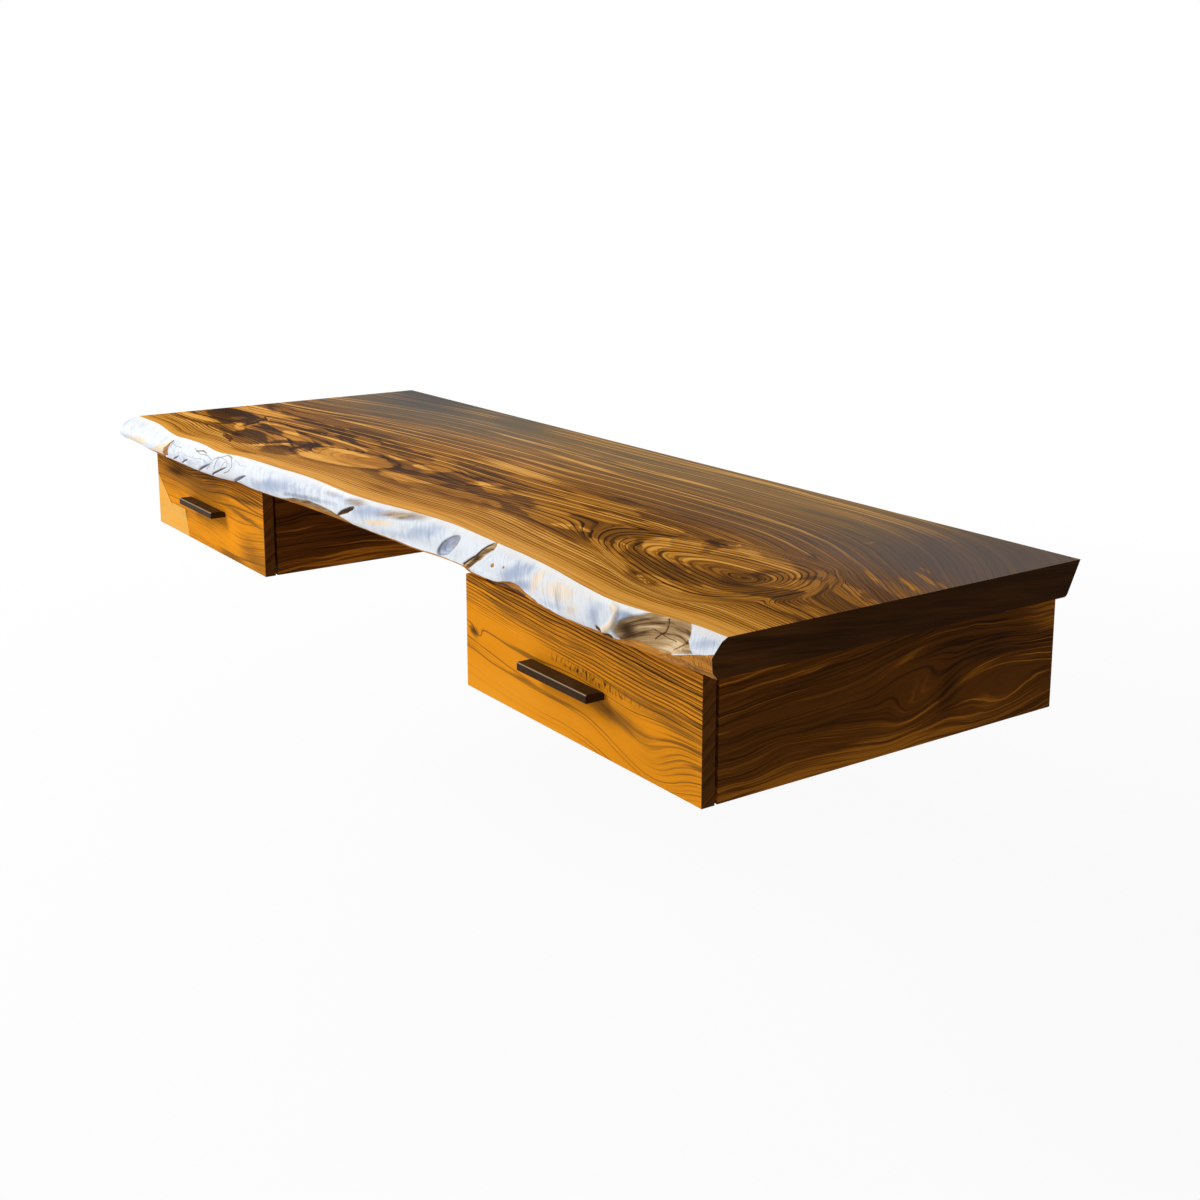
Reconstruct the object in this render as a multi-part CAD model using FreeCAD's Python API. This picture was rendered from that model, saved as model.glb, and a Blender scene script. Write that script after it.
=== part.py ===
import FreeCAD, Part
import math
import os

# Floating wall desk: a live-edge slab on two hung drawer cases, in millimetres.
# X runs along the desk, +Y points into the wall and +Z is up. The origin is on the wall plane,
# half-way along the desk, on the line of the wall screws.

# ---- driving dimensions -------------------------------------------------------------------
desk_length = 1800.0
slab_depth = 600.0        # wall to the mean line of the live edge
slab_thick = 46.0
bolt_drop = 130.0         # slab top down to the line of the wall screws
rear_bevel = 24.0         # how far the slab's wall side leans in at the underside
rear_round = 4.0          # round on the lower rear arris

# live edge: station along the desk as a share of half its length, then how far the top arris,
# the belly and the bottom arris stand beyond slab_depth
live_edge = (
    (-1.00, 8, 49, 19), (-0.94, 8, 46, 24), (-0.88, 8, 45, 31), (-0.81, 17, 45, 33),
    (-0.71, 28, 46, 33), (-0.66, 22, 42, 33), (-0.58, 20, 40, 32), (-0.49, 25, 38, 26),
    (-0.43, 11, 26, 14), (-0.37, 4, 20, 15), (-0.29, -1, 16, 11), (-0.17, -11, 6, 0),
    (-0.01, -8, 2, -6), (0.08, -14, -2, -8), (0.16, -25, -8, -10), (0.22, -33, -15, -11),
    (0.29, -38, -22, -18), (0.355, -36, -20, -19), (0.40, -34, -16, -11), (0.455, -31, -10, -10),
    (0.53, -27, -8, -10), (0.62, -18, 0, 0), (0.71, -5, 10, 6), (0.79, 3, 14, 5),
    (0.86, -3, 11, 3), (0.93, -15, 6, 2), (1.00, -16, 6, 0),
)
edge_shoulder_drop = 7.0  # slab top down to the shoulder of the live edge
edge_shoulder_share = 0.62
edge_overrun = 4.0        # how far the edge surface runs past the faces that trim it
cut_overrun = 1.0         # how far a cutting shape runs past the face that it cuts through
pick_reach = 0.1          # how near to a plane an edge must lie to be picked for rounding

case_width = 518.0
case_inset = 36.0         # slab end to the outer face of a case
case_drop = 163.5         # slab underside to the bottom edge of a case
case_depth = 565.0        # wall to the front edges of the case sides
board = 19.0              # case sides, rails and drawer fronts
panel = 12.0              # case backs and bottoms
groove = 6.0              # depth of the grooves that hold the panels
case_bottom_raise = 6.0   # bottom edge of a case to the underside of its bottom panel
back_recess = 20.0        # wall to the rear face of a case back
rail_width = 80.0
dowel_r = 4.0
dowel_in_side = 12.0
dowel_in_rail = 18.0
dowel_edge = 20.0         # rail edge to a dowel's axis
easing = 0.8              # small round on the edges that show

front_gap = 4.5           # case front edges to the back of a closed drawer front
front_reveal = 4.5        # slab underside to the top of a drawer front
bumper_r = 5.0
bumper_rest = 0.3         # closed drawer front to the bumpers
bumper_edge = 15.0        # end of a side's front edge to a bumper's centre

cleat_thick = 18.0
cleat_end_gap = 5.0       # case side to the end of a cleat
cleat_top_gap = 2.0       # slab underside to the top of a hanging cleat
wall_cleat_below = 30.0   # wall screw line to the wall cleat's bottom edge
wall_cleat_above = 32.0   # wall screw line to the wall cleat's top, at the wall
stud_pitch = 406.4
wall_hole_r = 3.5
wall_hole_edge = 20.0     # least distance from a wall hole to the end of its cleat

slide_stock_step = 50.0   # ball slides come in lengths this far apart
slide_setback = 2.0       # case front edge to the front end of a slide
slide_thick = 12.7
slide_height = 45.0
sheet = 1.2               # steel of the slide members
web_gap = 1.0             # web of one member to the web or flanges of the next
race_gap = 3.8            # flange of one member to the flange of the next
ball_r = 1.75
balls_per_row = 4
cage_sheet = 0.6
cage_web_sheet = 0.5
cage_hole_gap = 0.1
cage_share = 0.48         # length of a cage as a share of its slide

drawer_floor_gap = 6.5    # case bottom panel to the drawer box
drawer_head_gap = 15.0    # case rails to the drawer box
drawer_board = 12.0
drawer_bottom_thick = 6.0
drawer_bottom_raise = 10.0
drawer_groove = 6.0

handle_length = 156.0
handle_shift = 8.0        # middle of a drawer front to the middle of its handle, towards the knees
handle_height = 11.0
handle_reach = 27.5       # drawer front to the front of the handle
handle_lip = 4.5          # front wall of the handle
handle_roof = 3.5
handle_heel = 7.5         # rear wall of the handle, against the drawer front
handle_round = 6.0        # round on the handle's top rear edge
handle_easing = 0.7
handle_end_block = 26.0   # solid end that takes a screw
handle_pitch = 128.0      # between the handle's screws
handle_thread_depth = 12.0
handle_screw_short = 1.0  # handle screw's tip to the bottom of its hole

screw_gap = 0.05          # round a screw or dowel in its hole
wood_screw_r = 2.5
wood_screw_head_r = 5.5
wood_screw_head = 3.5
slab_screw_bite = 27.0
cleat_screw_bite = 20.0
front_screw_bite = 14.0
slide_screw_r = 2.0
slide_screw_bite = 9.0
machine_screw_r = 2.0
machine_screw_head_r = 4.0
machine_screw_head = 2.5
screw_end_distance = 60.0  # case side to the outermost screw of a row
screws_per_rail = 3
screws_per_cleat = 4
screws_per_slide = 3
cleat_screw_offset = 22.0  # rail screw to the cleat screw beside it, along a rail

# ---- levels and planes worked out from them -----------------------------------------------
half_length = desk_length / 2
top_z = bolt_drop
slab_under_z = top_z - slab_thick
case_bottom_z = slab_under_z - case_drop
case_outer = half_length - case_inset
case_inner = case_outer - case_width
case_mid = (case_outer + case_inner) / 2
handle_mid = case_mid - handle_shift
bore_outer = case_outer - board
bore_inner = case_inner + board
rail_under_z = slab_under_z - board
floor_under_z = case_bottom_z + case_bottom_raise
floor_top_z = floor_under_z + panel
back_rear_y = -back_recess
back_front_y = back_rear_y - panel
case_front_y = -case_depth
front_back_y = case_front_y - front_gap
front_face_y = front_back_y - board
front_top_z = slab_under_z - front_reveal
front_mid_z = (front_top_z + case_bottom_z) / 2

slide_room = case_depth - back_recess - panel - slide_setback
slide_length = slide_stock_step * math.floor(slide_room / slide_stock_step)
slide_front_y = case_front_y + slide_setback
slide_rear_y = slide_front_y + slide_length

drawer_low_z = floor_top_z + drawer_floor_gap
drawer_high_z = rail_under_z - drawer_head_gap
drawer_outer = bore_outer - slide_thick
drawer_inner = bore_inner + slide_thick
slide_mid_z = (drawer_low_z + drawer_high_z) / 2

X_AXIS = FreeCAD.Vector(1, 0, 0)
Y_AXIS = FreeCAD.Vector(0, 1, 0)
Z_AXIS = FreeCAD.Vector(0, 0, 1)
nodes = {}


# ---- small shape helpers ------------------------------------------------------------------
def span(side, a, b):
    """The X range between two distances from the desk's middle, on side +1 or -1."""
    return tuple(sorted((side * a, side * b)))


def block(x, y, z):
    """A box from its low and high X, Y and Z."""
    corner = FreeCAD.Vector(x[0], y[0], z[0])
    return Part.makeBox(x[1] - x[0], y[1] - y[0], z[1] - z[0], corner)


def rod(radius, start, direction, length):
    """A cylinder from a start point along a direction."""
    return Part.makeCylinder(radius, length, FreeCAD.Vector(*start), direction)


def prism(points, direction, length):
    """A closed outline of points, extruded."""
    wire = Part.makePolygon([FreeCAD.Vector(*p) for p in points + points[:1]])
    return Part.Face(wire).extrude(direction * length)


def cut_all(body, tools):
    """The body with every tool cut from it."""
    return body.cut(Part.makeCompound(tools)) if tools else body


def eased(body, radius, wanted):
    """The body with the straight edges that wanted(edge midpoint, edge direction) picks rounded."""
    picked = []
    for edge in body.Edges:
        first, last = edge.Vertexes[0].Point, edge.Vertexes[-1].Point
        if wanted((first + last) / 2, last - first):
            picked.append(edge)
    return body.makeFillet(radius, picked) if picked else body


def row(start, end, count):
    """Evenly spaced places from start to end."""
    return [start + (end - start) * i / (count - 1) for i in range(count)]


def screw(start, direction, radius, length, head_r, head):
    """A pan-head screw: start is the centre of the face under the head, direction points to its tip."""
    shank = rod(radius, start, direction, length)
    cap = rod(head_r, start, direction * -1, head)
    return shank.fuse(cap).removeSplitter()


def countersunk(start, direction, radius, length):
    """A flush screw whose head tapers through one thickness of slide steel."""
    point = FreeCAD.Vector(*start)
    head = Part.makeCone(radius + sheet, radius, sheet, point, direction)
    shank = rod(radius, tuple(point + direction * sheet), direction, length)
    return head.fuse(shank).removeSplitter()


# ---- slab ---------------------------------------------------------------------------------
def edge_profile(station):
    """The closed outline of the slab at one station, reaching past every face that trims it."""
    share, top, belly, bottom = station
    x = share * (half_length + edge_overrun)
    shoulder = top + edge_shoulder_share * (belly - top)
    hip = belly + edge_shoulder_share * (bottom - belly)
    heights = (edge_overrun, 0, -edge_shoulder_drop, -slab_thick / 2,
               edge_shoulder_drop - slab_thick, -slab_thick, -slab_thick - edge_overrun)
    reaches = (2 * top - shoulder, top, shoulder, belly, hip, bottom, 2 * bottom - hip)
    points = [
        FreeCAD.Vector(x, -(slab_depth + reach), top_z + height)
        for reach, height in zip(reaches, heights)
    ]
    curve = Part.BSplineCurve()
    curve.interpolate(points)
    behind = slab_depth / 2
    rear = [FreeCAD.Vector(x, -behind, p.z) for p in (points[-1], points[0])]
    edges = [curve.toShape(), Part.makeLine(points[-1], rear[0]),
             Part.makeLine(rear[0], rear[1]), Part.makeLine(rear[1], points[0])]
    return Part.Wire(edges)


def make_slab():
    """A flat blank with a leaning rear edge, trimmed along the front by the live edge."""
    farthest = slab_depth + max(max(s[1:]) for s in live_edge) + 2 * slab_thick
    blank = prism(
        [(-half_length, 0, top_z), (-half_length, -rear_bevel, slab_under_z),
         (-half_length, -farthest, slab_under_z), (-half_length, -farthest, top_z)],
        X_AXIS, desk_length)
    blank = eased(blank, rear_round, lambda mid, along: abs(mid.y + rear_bevel) < pick_reach and along.x)
    front = Part.makeLoft([edge_profile(s) for s in live_edge], True, False)
    rear = block((-half_length, half_length), (-slab_depth / 2, 0), (slab_under_z, top_z))
    slab = blank.common(front).fuse(blank.common(rear)).removeSplitter()
    return cut_all(slab, [rod(wood_screw_r + screw_gap, (x, y, slab_under_z - cut_overrun), Z_AXIS,
                              slab_screw_bite + cut_overrun + screw_gap)
                          for x, y in slab_screw_places()])


def rail_spans():
    """The Y range of the front and the rear rail."""
    return ((case_front_y, case_front_y + rail_width), (back_front_y - rail_width, back_front_y))


def slab_screw_places():
    """X and Y of the screws that run up through the case rails into the slab."""
    places = []
    for side in (-1, 1):
        for low, high in rail_spans():
            for reach in row(bore_inner + screw_end_distance, bore_outer - screw_end_distance,
                             screws_per_rail):
                places.append((side * reach, (low + high) / 2))
    return places


# ---- cases --------------------------------------------------------------------------------
def cleat_screw_reaches():
    """Distances from the desk's middle to the screws of a hanging cleat."""
    step = screw_end_distance + cleat_screw_offset
    return row(bore_inner + step, bore_outer - step, screws_per_cleat)


def dowel_places():
    """Y of every dowel between the rails and a side."""
    return [y for low, high in rail_spans() for y in (low + dowel_edge, high - dowel_edge)]


def make_case_side(side, face, inward):
    """A case side: face is the distance of its inner face, inward points to the case's middle."""
    outside = face - inward * board
    body = block(span(side, face, outside), (case_front_y, 0), (case_bottom_z, slab_under_z))
    body = eased(body, easing, lambda mid, along: along.z and mid.y < -pick_reach or
                 along.y and mid.z < case_bottom_z + pick_reach)
    slots = span(side, face, face - inward * groove)
    tools = [block(slots, (case_front_y - cut_overrun, back_rear_y), (floor_under_z, floor_top_z)),
             block(slots, (back_front_y, back_rear_y), (floor_under_z, slab_under_z + cut_overrun))]
    into_side = X_AXIS * (-inward * side)
    for y in dowel_places():
        tools.append(rod(dowel_r + screw_gap, (side * face, y, slab_under_z - board / 2),
                         into_side, dowel_in_side + screw_gap))
    for y in slide_screw_places():
        tools.append(rod(slide_screw_r + screw_gap, (side * face, y, slide_mid_z),
                         into_side, slide_screw_bite + screw_gap))
    return cut_all(body, tools)


def make_case_panels(side, name):
    """The bottom and the back, held in grooves of the two sides."""
    across = span(side, bore_inner - groove, bore_outer + groove)
    nodes[name + "_case_bottom"] = block(
        across, (case_front_y, back_rear_y), (floor_under_z, floor_top_z))
    back = block(across, (back_front_y, back_rear_y), (floor_top_z, slab_under_z))
    level = slab_under_z - board / 2
    holes = [rod(wood_screw_r + screw_gap, (side * reach, back_front_y - cut_overrun, level),
                 Y_AXIS, panel + 2 * cut_overrun) for reach in cleat_screw_reaches()]
    nodes[name + "_case_back"] = cut_all(back, holes)


def make_case_rails(side, name):
    """The two flat rails that tie the sides together and take the slab."""
    for (low, high), where in zip(rail_spans(), ("front", "rear")):
        rail = block(span(side, bore_inner, bore_outer), (low, high), (rail_under_z, slab_under_z))
        tools = [rod(wood_screw_r + screw_gap, (x, y, rail_under_z - cut_overrun), Z_AXIS,
                     board + 2 * cut_overrun)
                 for x, y in slab_screw_places() if x * side > 0 and low < y < high]
        for face, inward in ((bore_inner, 1), (bore_outer, -1)):
            for y in (low + dowel_edge, high - dowel_edge):
                tools.append(rod(dowel_r + screw_gap, (side * face, y, slab_under_z - board / 2),
                                 X_AXIS * (inward * side), dowel_in_rail + screw_gap))
        if where == "rear":
            for reach in cleat_screw_reaches():
                start = (side * reach, back_front_y, slab_under_z - board / 2)
                tools.append(rod(wood_screw_r + screw_gap, start, Y_AXIS * -1,
                                 cleat_screw_bite + screw_gap))
        nodes[f"{name}_case_{where}_rail"] = cut_all(rail, tools)


def make_bumpers(side):
    """Four pads on the front edges of a case, which the closed drawer front nearly touches."""
    thick = front_gap - bumper_rest
    return Part.makeCompound([
        rod(bumper_r, (side * reach, case_front_y, z), Y_AXIS * -1, thick)
        for reach in (case_inner + board / 2, case_outer - board / 2)
        for z in (case_bottom_z + bumper_edge, slab_under_z - bumper_edge)])


def make_dowels():
    """Every dowel between rails and sides."""
    length = dowel_in_side + dowel_in_rail
    dowels = []
    for side in (-1, 1):
        for face, inward in ((bore_inner, 1), (bore_outer, -1)):
            for y in dowel_places():
                start = (side * (face - inward * dowel_in_side), y, slab_under_z - board / 2)
                dowels.append(rod(dowel_r, start, X_AXIS * (inward * side), length))
    return Part.makeCompound(dowels)


def make_slab_screws():
    """The screws that hold the cases up against the slab."""
    return Part.makeCompound([
        screw((x, y, rail_under_z), Z_AXIS, wood_screw_r, board + slab_screw_bite,
              wood_screw_head_r, wood_screw_head) for x, y in slab_screw_places()])


# ---- wall cleats --------------------------------------------------------------------------
def cleat_ends():
    """The distances from the desk's middle to the ends of a cleat."""
    return bore_inner + cleat_end_gap, bore_outer - cleat_end_gap


def wall_hole_reaches():
    """The stud lines that cross a wall cleat, as distances from the desk's middle."""
    low, high = cleat_ends()
    first = math.ceil((low + wall_hole_edge) / stud_pitch)
    last = math.floor((high - wall_hole_edge) / stud_pitch)
    return [stud_pitch * i for i in range(first, last + 1)]


def make_cleats(side, name):
    """The wall cleat and the hanging cleat, which meet on a 45 degree face."""
    x = span(side, *cleat_ends())
    length = x[1] - x[0]
    wall = prism(
        [(x[0], 0, -wall_cleat_below), (x[0], 0, wall_cleat_above),
         (x[0], -cleat_thick, wall_cleat_above + cleat_thick), (x[0], -cleat_thick, -wall_cleat_below)],
        X_AXIS, length)
    holes = [rod(wall_hole_r, (side * reach, cut_overrun, 0), Y_AXIS * -1,
                 cleat_thick + 2 * cut_overrun) for reach in wall_hole_reaches()]
    nodes[name + "_wall_cleat"] = cut_all(wall, holes)
    rear = back_rear_y + cleat_thick
    top = slab_under_z - cleat_top_gap
    hanging = prism(
        [(x[0], back_rear_y, wall_cleat_above - back_rear_y), (x[0], rear, wall_cleat_above - rear),
         (x[0], rear, top), (x[0], back_rear_y, top)], X_AXIS, length)
    tools = []
    for reach in cleat_screw_reaches():
        centre = (side * reach, rear + cut_overrun, slab_under_z - board / 2)
        tools.append(rod(wood_screw_r + screw_gap, centre, Y_AXIS * -1, cleat_thick + 2 * cut_overrun))
        tools.append(rod(wood_screw_head_r + screw_gap, centre, Y_AXIS * -1,
                         wood_screw_head + cut_overrun))
    nodes[name + "_hanging_cleat"] = cut_all(hanging, tools)


def make_cleat_screws():
    """The screws through hanging cleat and case back into the rear rail, heads sunk flush."""
    head_seat = back_rear_y + cleat_thick - wood_screw_head
    length = head_seat - back_front_y + cleat_screw_bite
    return Part.makeCompound([
        screw((side * reach, head_seat, slab_under_z - board / 2), Y_AXIS * -1, wood_screw_r,
              length, wood_screw_head_r, wood_screw_head)
        for side in (-1, 1) for reach in cleat_screw_reaches()])


# ---- ball slides --------------------------------------------------------------------------
def slide_screw_places():
    """Y of the screws of a slide member."""
    return row(slide_front_y + screw_end_distance, slide_rear_y - screw_end_distance,
               screws_per_slide)


def channel(origin_x, toward, web, lip, half, thick, web_thick, ends):
    """A U channel along Y. web and lip are distances from origin_x in the direction toward: where
    the web's outer face and the ends of the flanges lie. half is half the channel's outer height."""
    step = math.copysign(web_thick, lip - web)
    outline = [(web, -half), (lip, -half), (lip, thick - half), (web + step, thick - half),
               (web + step, half - thick), (lip, half - thick), (lip, half), (web, half)]
    points = [(origin_x + toward * t, ends[0], slide_mid_z + h) for t, h in outline]
    return prism(points, Y_AXIS, ends[1] - ends[0])


def slide_levels():
    """Where the members' flanges and webs lie, from the case side to the drawer side."""
    half_case = slide_height / 2
    half_middle = half_case - sheet - race_gap
    half_drawer = half_middle - sheet - race_gap
    middle_web = sheet + web_gap
    drawer_flange = middle_web + sheet + web_gap
    return half_case, half_middle, half_drawer, middle_web, drawer_flange


def make_slide(side, name, face, inward, where):
    """Three members of one slide. face is the distance of the case side that it is screwed to."""
    half_case, half_middle, half_drawer, middle_web, drawer_flange = slide_levels()
    origin_x, toward = side * face, side * inward
    ends = (slide_front_y, slide_rear_y)
    stem = f"{name}_{where}_slide_"
    case_lip = slide_thick - sheet - 2 * web_gap
    middle_lip = slide_thick - sheet - web_gap
    case_member = channel(origin_x, toward, 0, case_lip, half_case, sheet, sheet, ends)
    middle_member = channel(origin_x, toward, middle_web, middle_lip, half_middle, sheet, sheet, ends)
    drawer_member = channel(origin_x, toward, slide_thick, drawer_flange, half_drawer, sheet, sheet, ends)
    out, into = X_AXIS * -toward, X_AXIS * toward
    case_holes = [Part.makeCone(slide_screw_r + sheet + screw_gap, slide_screw_r + screw_gap, sheet,
                                FreeCAD.Vector(origin_x + toward * sheet, y, slide_mid_z), out)
                  for y in slide_screw_places()]
    drawer_holes = [Part.makeCone(slide_screw_r + sheet + screw_gap, slide_screw_r + screw_gap, sheet,
                                  FreeCAD.Vector(origin_x + toward * (slide_thick - sheet), y, slide_mid_z),
                                  into) for y in slide_screw_places()]
    nodes[stem + "case_member"] = cut_all(case_member, case_holes)
    nodes[stem + "middle_member"] = middle_member
    nodes[stem + "drawer_member"] = cut_all(drawer_member, drawer_holes)


def make_cages(side, web, lip, row_half):
    """The ball cages at one stage of a drawer's two slides, with their balls as separate solids."""
    solids = []
    length = slide_length * cage_share
    middle_y = (slide_front_y + slide_rear_y) / 2
    ends = (middle_y - length / 2, middle_y + length / 2)
    ball_t = (web + lip) / 2
    margin = 4 * ball_r
    for face, inward in ((bore_inner, 1), (bore_outer, -1)):
        origin_x, toward = side * face, side * inward
        cage = channel(origin_x, toward, web, lip, row_half + cage_sheet / 2, cage_sheet,
                       cage_web_sheet, ends)
        holes, balls = [], []
        for y in row(ends[0] + margin, ends[1] - margin, balls_per_row):
            x = origin_x + toward * ball_t
            holes.append(rod(ball_r + cage_hole_gap, (x, y, slide_mid_z - row_half - cage_sheet),
                             Z_AXIS, 2 * (row_half + cage_sheet)))
            for height in (-row_half, row_half):
                balls.append(Part.makeSphere(ball_r, FreeCAD.Vector(x, y, slide_mid_z + height)))
        solids += [cut_all(cage, holes)] + balls
    return Part.makeCompound(solids)


def make_slide_screws(side, into_drawer):
    """The flush screws of a drawer's two slides: into the case sides, or into the drawer sides."""
    screws = []
    for face, inward in ((bore_inner, 1), (bore_outer, -1)):
        toward = side * inward
        start = slide_thick - sheet if into_drawer else sheet
        direction = X_AXIS * (toward if into_drawer else -toward)
        for y in slide_screw_places():
            screws.append(countersunk((side * face + toward * start, y, slide_mid_z), direction,
                                      slide_screw_r, slide_screw_bite))
    return screws


# ---- drawers ------------------------------------------------------------------------------
def front_screw_places():
    """X (as a distance) and Z of the screws between drawer box and drawer front."""
    inset = screw_end_distance
    rise = (drawer_high_z - drawer_low_z) / 4
    return [(reach, slide_mid_z + up)
            for reach in (drawer_inner + inset, drawer_outer - inset) for up in (-rise, rise)]


def handle_screw_reaches():
    """Distances from the desk's middle to the handle's two screws."""
    return handle_mid - handle_pitch / 2, handle_mid + handle_pitch / 2


def make_drawer_front(side):
    """The solid front that covers the whole case."""
    body = block(span(side, case_inner, case_outer), (front_face_y, front_back_y),
                 (case_bottom_z, front_top_z))
    body = eased(body, easing, lambda mid, along: abs(mid.y - front_face_y) < pick_reach)
    holes = [rod(wood_screw_r + screw_gap, (side * reach, front_back_y, z), Y_AXIS * -1,
                 front_screw_bite + screw_gap) for reach, z in front_screw_places()]
    holes += [rod(machine_screw_r + screw_gap, (side * reach, front_back_y + cut_overrun, front_mid_z),
                  Y_AXIS * -1, board + 2 * cut_overrun) for reach in handle_screw_reaches()]
    return cut_all(body, holes)


def make_drawer_box(side, name):
    """Front, back, two sides and a grooved-in bottom of one drawer."""
    high = (drawer_low_z, drawer_high_z)
    along = (front_back_y, slide_rear_y)
    inner, outer = drawer_inner + drawer_board, drawer_outer - drawer_board
    bottom_z = (drawer_low_z + drawer_bottom_raise,
                drawer_low_z + drawer_bottom_raise + drawer_bottom_thick)
    bottom = block(span(side, inner - drawer_groove, outer + drawer_groove),
                   (along[0] + drawer_board - drawer_groove, along[1] - drawer_board + drawer_groove),
                   bottom_z)
    front = block(span(side, inner, outer), (along[0], along[0] + drawer_board), high)
    cut_y, cut_length = along[0] - cut_overrun, drawer_board + 2 * cut_overrun
    holes = [rod(wood_screw_r + screw_gap, (side * reach, cut_y, z), Y_AXIS, cut_length)
             for reach, z in front_screw_places()]
    holes += [rod(machine_screw_r + screw_gap, (side * reach, cut_y, front_mid_z), Y_AXIS, cut_length)
              for reach in handle_screw_reaches()]
    nodes[name + "_drawer_box_front"] = cut_all(front.cut(bottom), holes)
    back = block(span(side, inner, outer), (along[1] - drawer_board, along[1]), high)
    nodes[name + "_drawer_box_back"] = back.cut(bottom)
    for where, face, inward in (("inner", drawer_inner, 1), ("outer", drawer_outer, -1)):
        board_side = block(span(side, face, face + inward * drawer_board), along, high)
        pilots = [rod(slide_screw_r + screw_gap, (side * face, y, slide_mid_z), X_AXIS * (inward * side),
                      slide_screw_bite + screw_gap) for y in slide_screw_places()]
        nodes[f"{name}_drawer_box_{where}_side"] = cut_all(board_side.cut(bottom), pilots)
    nodes[name + "_drawer_box_bottom"] = bottom


def make_front_screws(side):
    """The screws from inside the drawer box into the drawer front."""
    seat = front_back_y + drawer_board
    return Part.makeCompound([
        screw((side * reach, seat, z), Y_AXIS * -1, wood_screw_r, drawer_board + front_screw_bite,
              wood_screw_head_r, wood_screw_head) for reach, z in front_screw_places()])


def make_handle(side):
    """A low bar with a finger hollow cut up into it from below."""
    x = span(side, handle_mid - handle_length / 2, handle_mid + handle_length / 2)
    z = (front_mid_z - handle_height / 2, front_mid_z + handle_height / 2)
    outer_y = front_face_y - handle_reach
    body = block(x, (outer_y, front_face_y), z)
    body = eased(body, handle_round, lambda mid, along: along.x and mid.z > z[1] - pick_reach
                 and mid.y > front_face_y - pick_reach)
    body = eased(body, handle_easing, lambda mid, along: abs(mid.y - outer_y) < pick_reach)
    hollow = block((x[0] + handle_end_block, x[1] - handle_end_block),
                   (outer_y + handle_lip, front_face_y - handle_heel),
                   (z[0] - cut_overrun, z[1] - handle_roof))
    holes = [rod(machine_screw_r + screw_gap, (side * reach, front_face_y + cut_overrun, front_mid_z),
                 Y_AXIS * -1, handle_thread_depth + cut_overrun) for reach in handle_screw_reaches()]
    return cut_all(body, [hollow] + holes)


def make_handle_screws(side):
    """The machine screws from inside the drawer box into the handle's solid ends."""
    seat = front_back_y + drawer_board
    length = drawer_board + board + handle_thread_depth - handle_screw_short
    return Part.makeCompound([
        screw((side * reach, seat, front_mid_z), Y_AXIS * -1, machine_screw_r, length,
              machine_screw_head_r, machine_screw_head) for reach in handle_screw_reaches()])


# ---- assembly -----------------------------------------------------------------------------
def make_case(side, name):
    """One case with its cleats and bumpers."""
    nodes[name + "_case_inner_side"] = make_case_side(side, bore_inner, 1)
    nodes[name + "_case_outer_side"] = make_case_side(side, bore_outer, -1)
    make_case_panels(side, name)
    make_case_rails(side, name)
    nodes[name + "_case_bumpers"] = make_bumpers(side)
    make_cleats(side, name)


def make_drawer(side, name):
    """One drawer with its handle, slides and screws."""
    nodes[name + "_drawer_front"] = make_drawer_front(side)
    make_drawer_box(side, name)
    nodes[name + "_handle"] = make_handle(side)
    nodes[name + "_handle_screws"] = make_handle_screws(side)
    nodes[name + "_drawer_front_screws"] = make_front_screws(side)
    make_slide(side, name, bore_inner, 1, "inner")
    make_slide(side, name, bore_outer, -1, "outer")
    half_case, half_middle, half_drawer, middle_web, _ = slide_levels()
    slack = (web_gap - cage_web_sheet) / 2
    case_row = (half_case - sheet + half_middle) / 2
    drawer_row = (half_middle - sheet + half_drawer) / 2
    case_cage_web = sheet + slack
    drawer_cage_web = middle_web + sheet + slack
    nodes[name + "_case_stage_ball_cages"] = make_cages(
        side, case_cage_web, slide_thick - 2 * sheet - 2 * web_gap, case_row)
    nodes[name + "_drawer_stage_ball_cages"] = make_cages(
        side, drawer_cage_web, slide_thick - 2 * sheet - web_gap, drawer_row)
    nodes[name + "_drawer_slide_screws"] = Part.makeCompound(make_slide_screws(side, True))


def main():
    os.makedirs("parts", exist_ok=True)
    nodes["slab_top"] = make_slab()
    for side, name in ((-1, "left"), (1, "right")):
        make_case(side, name)
        make_drawer(side, name)
    nodes["case_dowels"] = make_dowels()
    nodes["slab_screws"] = make_slab_screws()
    nodes["hanging_cleat_screws"] = make_cleat_screws()
    nodes["case_slide_screws"] = Part.makeCompound(
        make_slide_screws(-1, False) + make_slide_screws(1, False))
    for name, shape in nodes.items():
        shape.exportStep(f"parts/{name}.step")
        print(f"{name}: {len(shape.Solids)} solids, {shape.Volume / 1000:.1f} cm3")
    print(f"{len(nodes)} nodes; slides and travel {slide_length} mm; wall holes at {wall_hole_reaches()}")


main()
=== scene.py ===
"""Floating wall desk: looks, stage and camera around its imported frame. Lengths are in metres."""
import math

import bmesh
import bpy
from bpy.props import FloatProperty, FloatVectorProperty, IntProperty, PointerProperty
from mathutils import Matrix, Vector, noise


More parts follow.
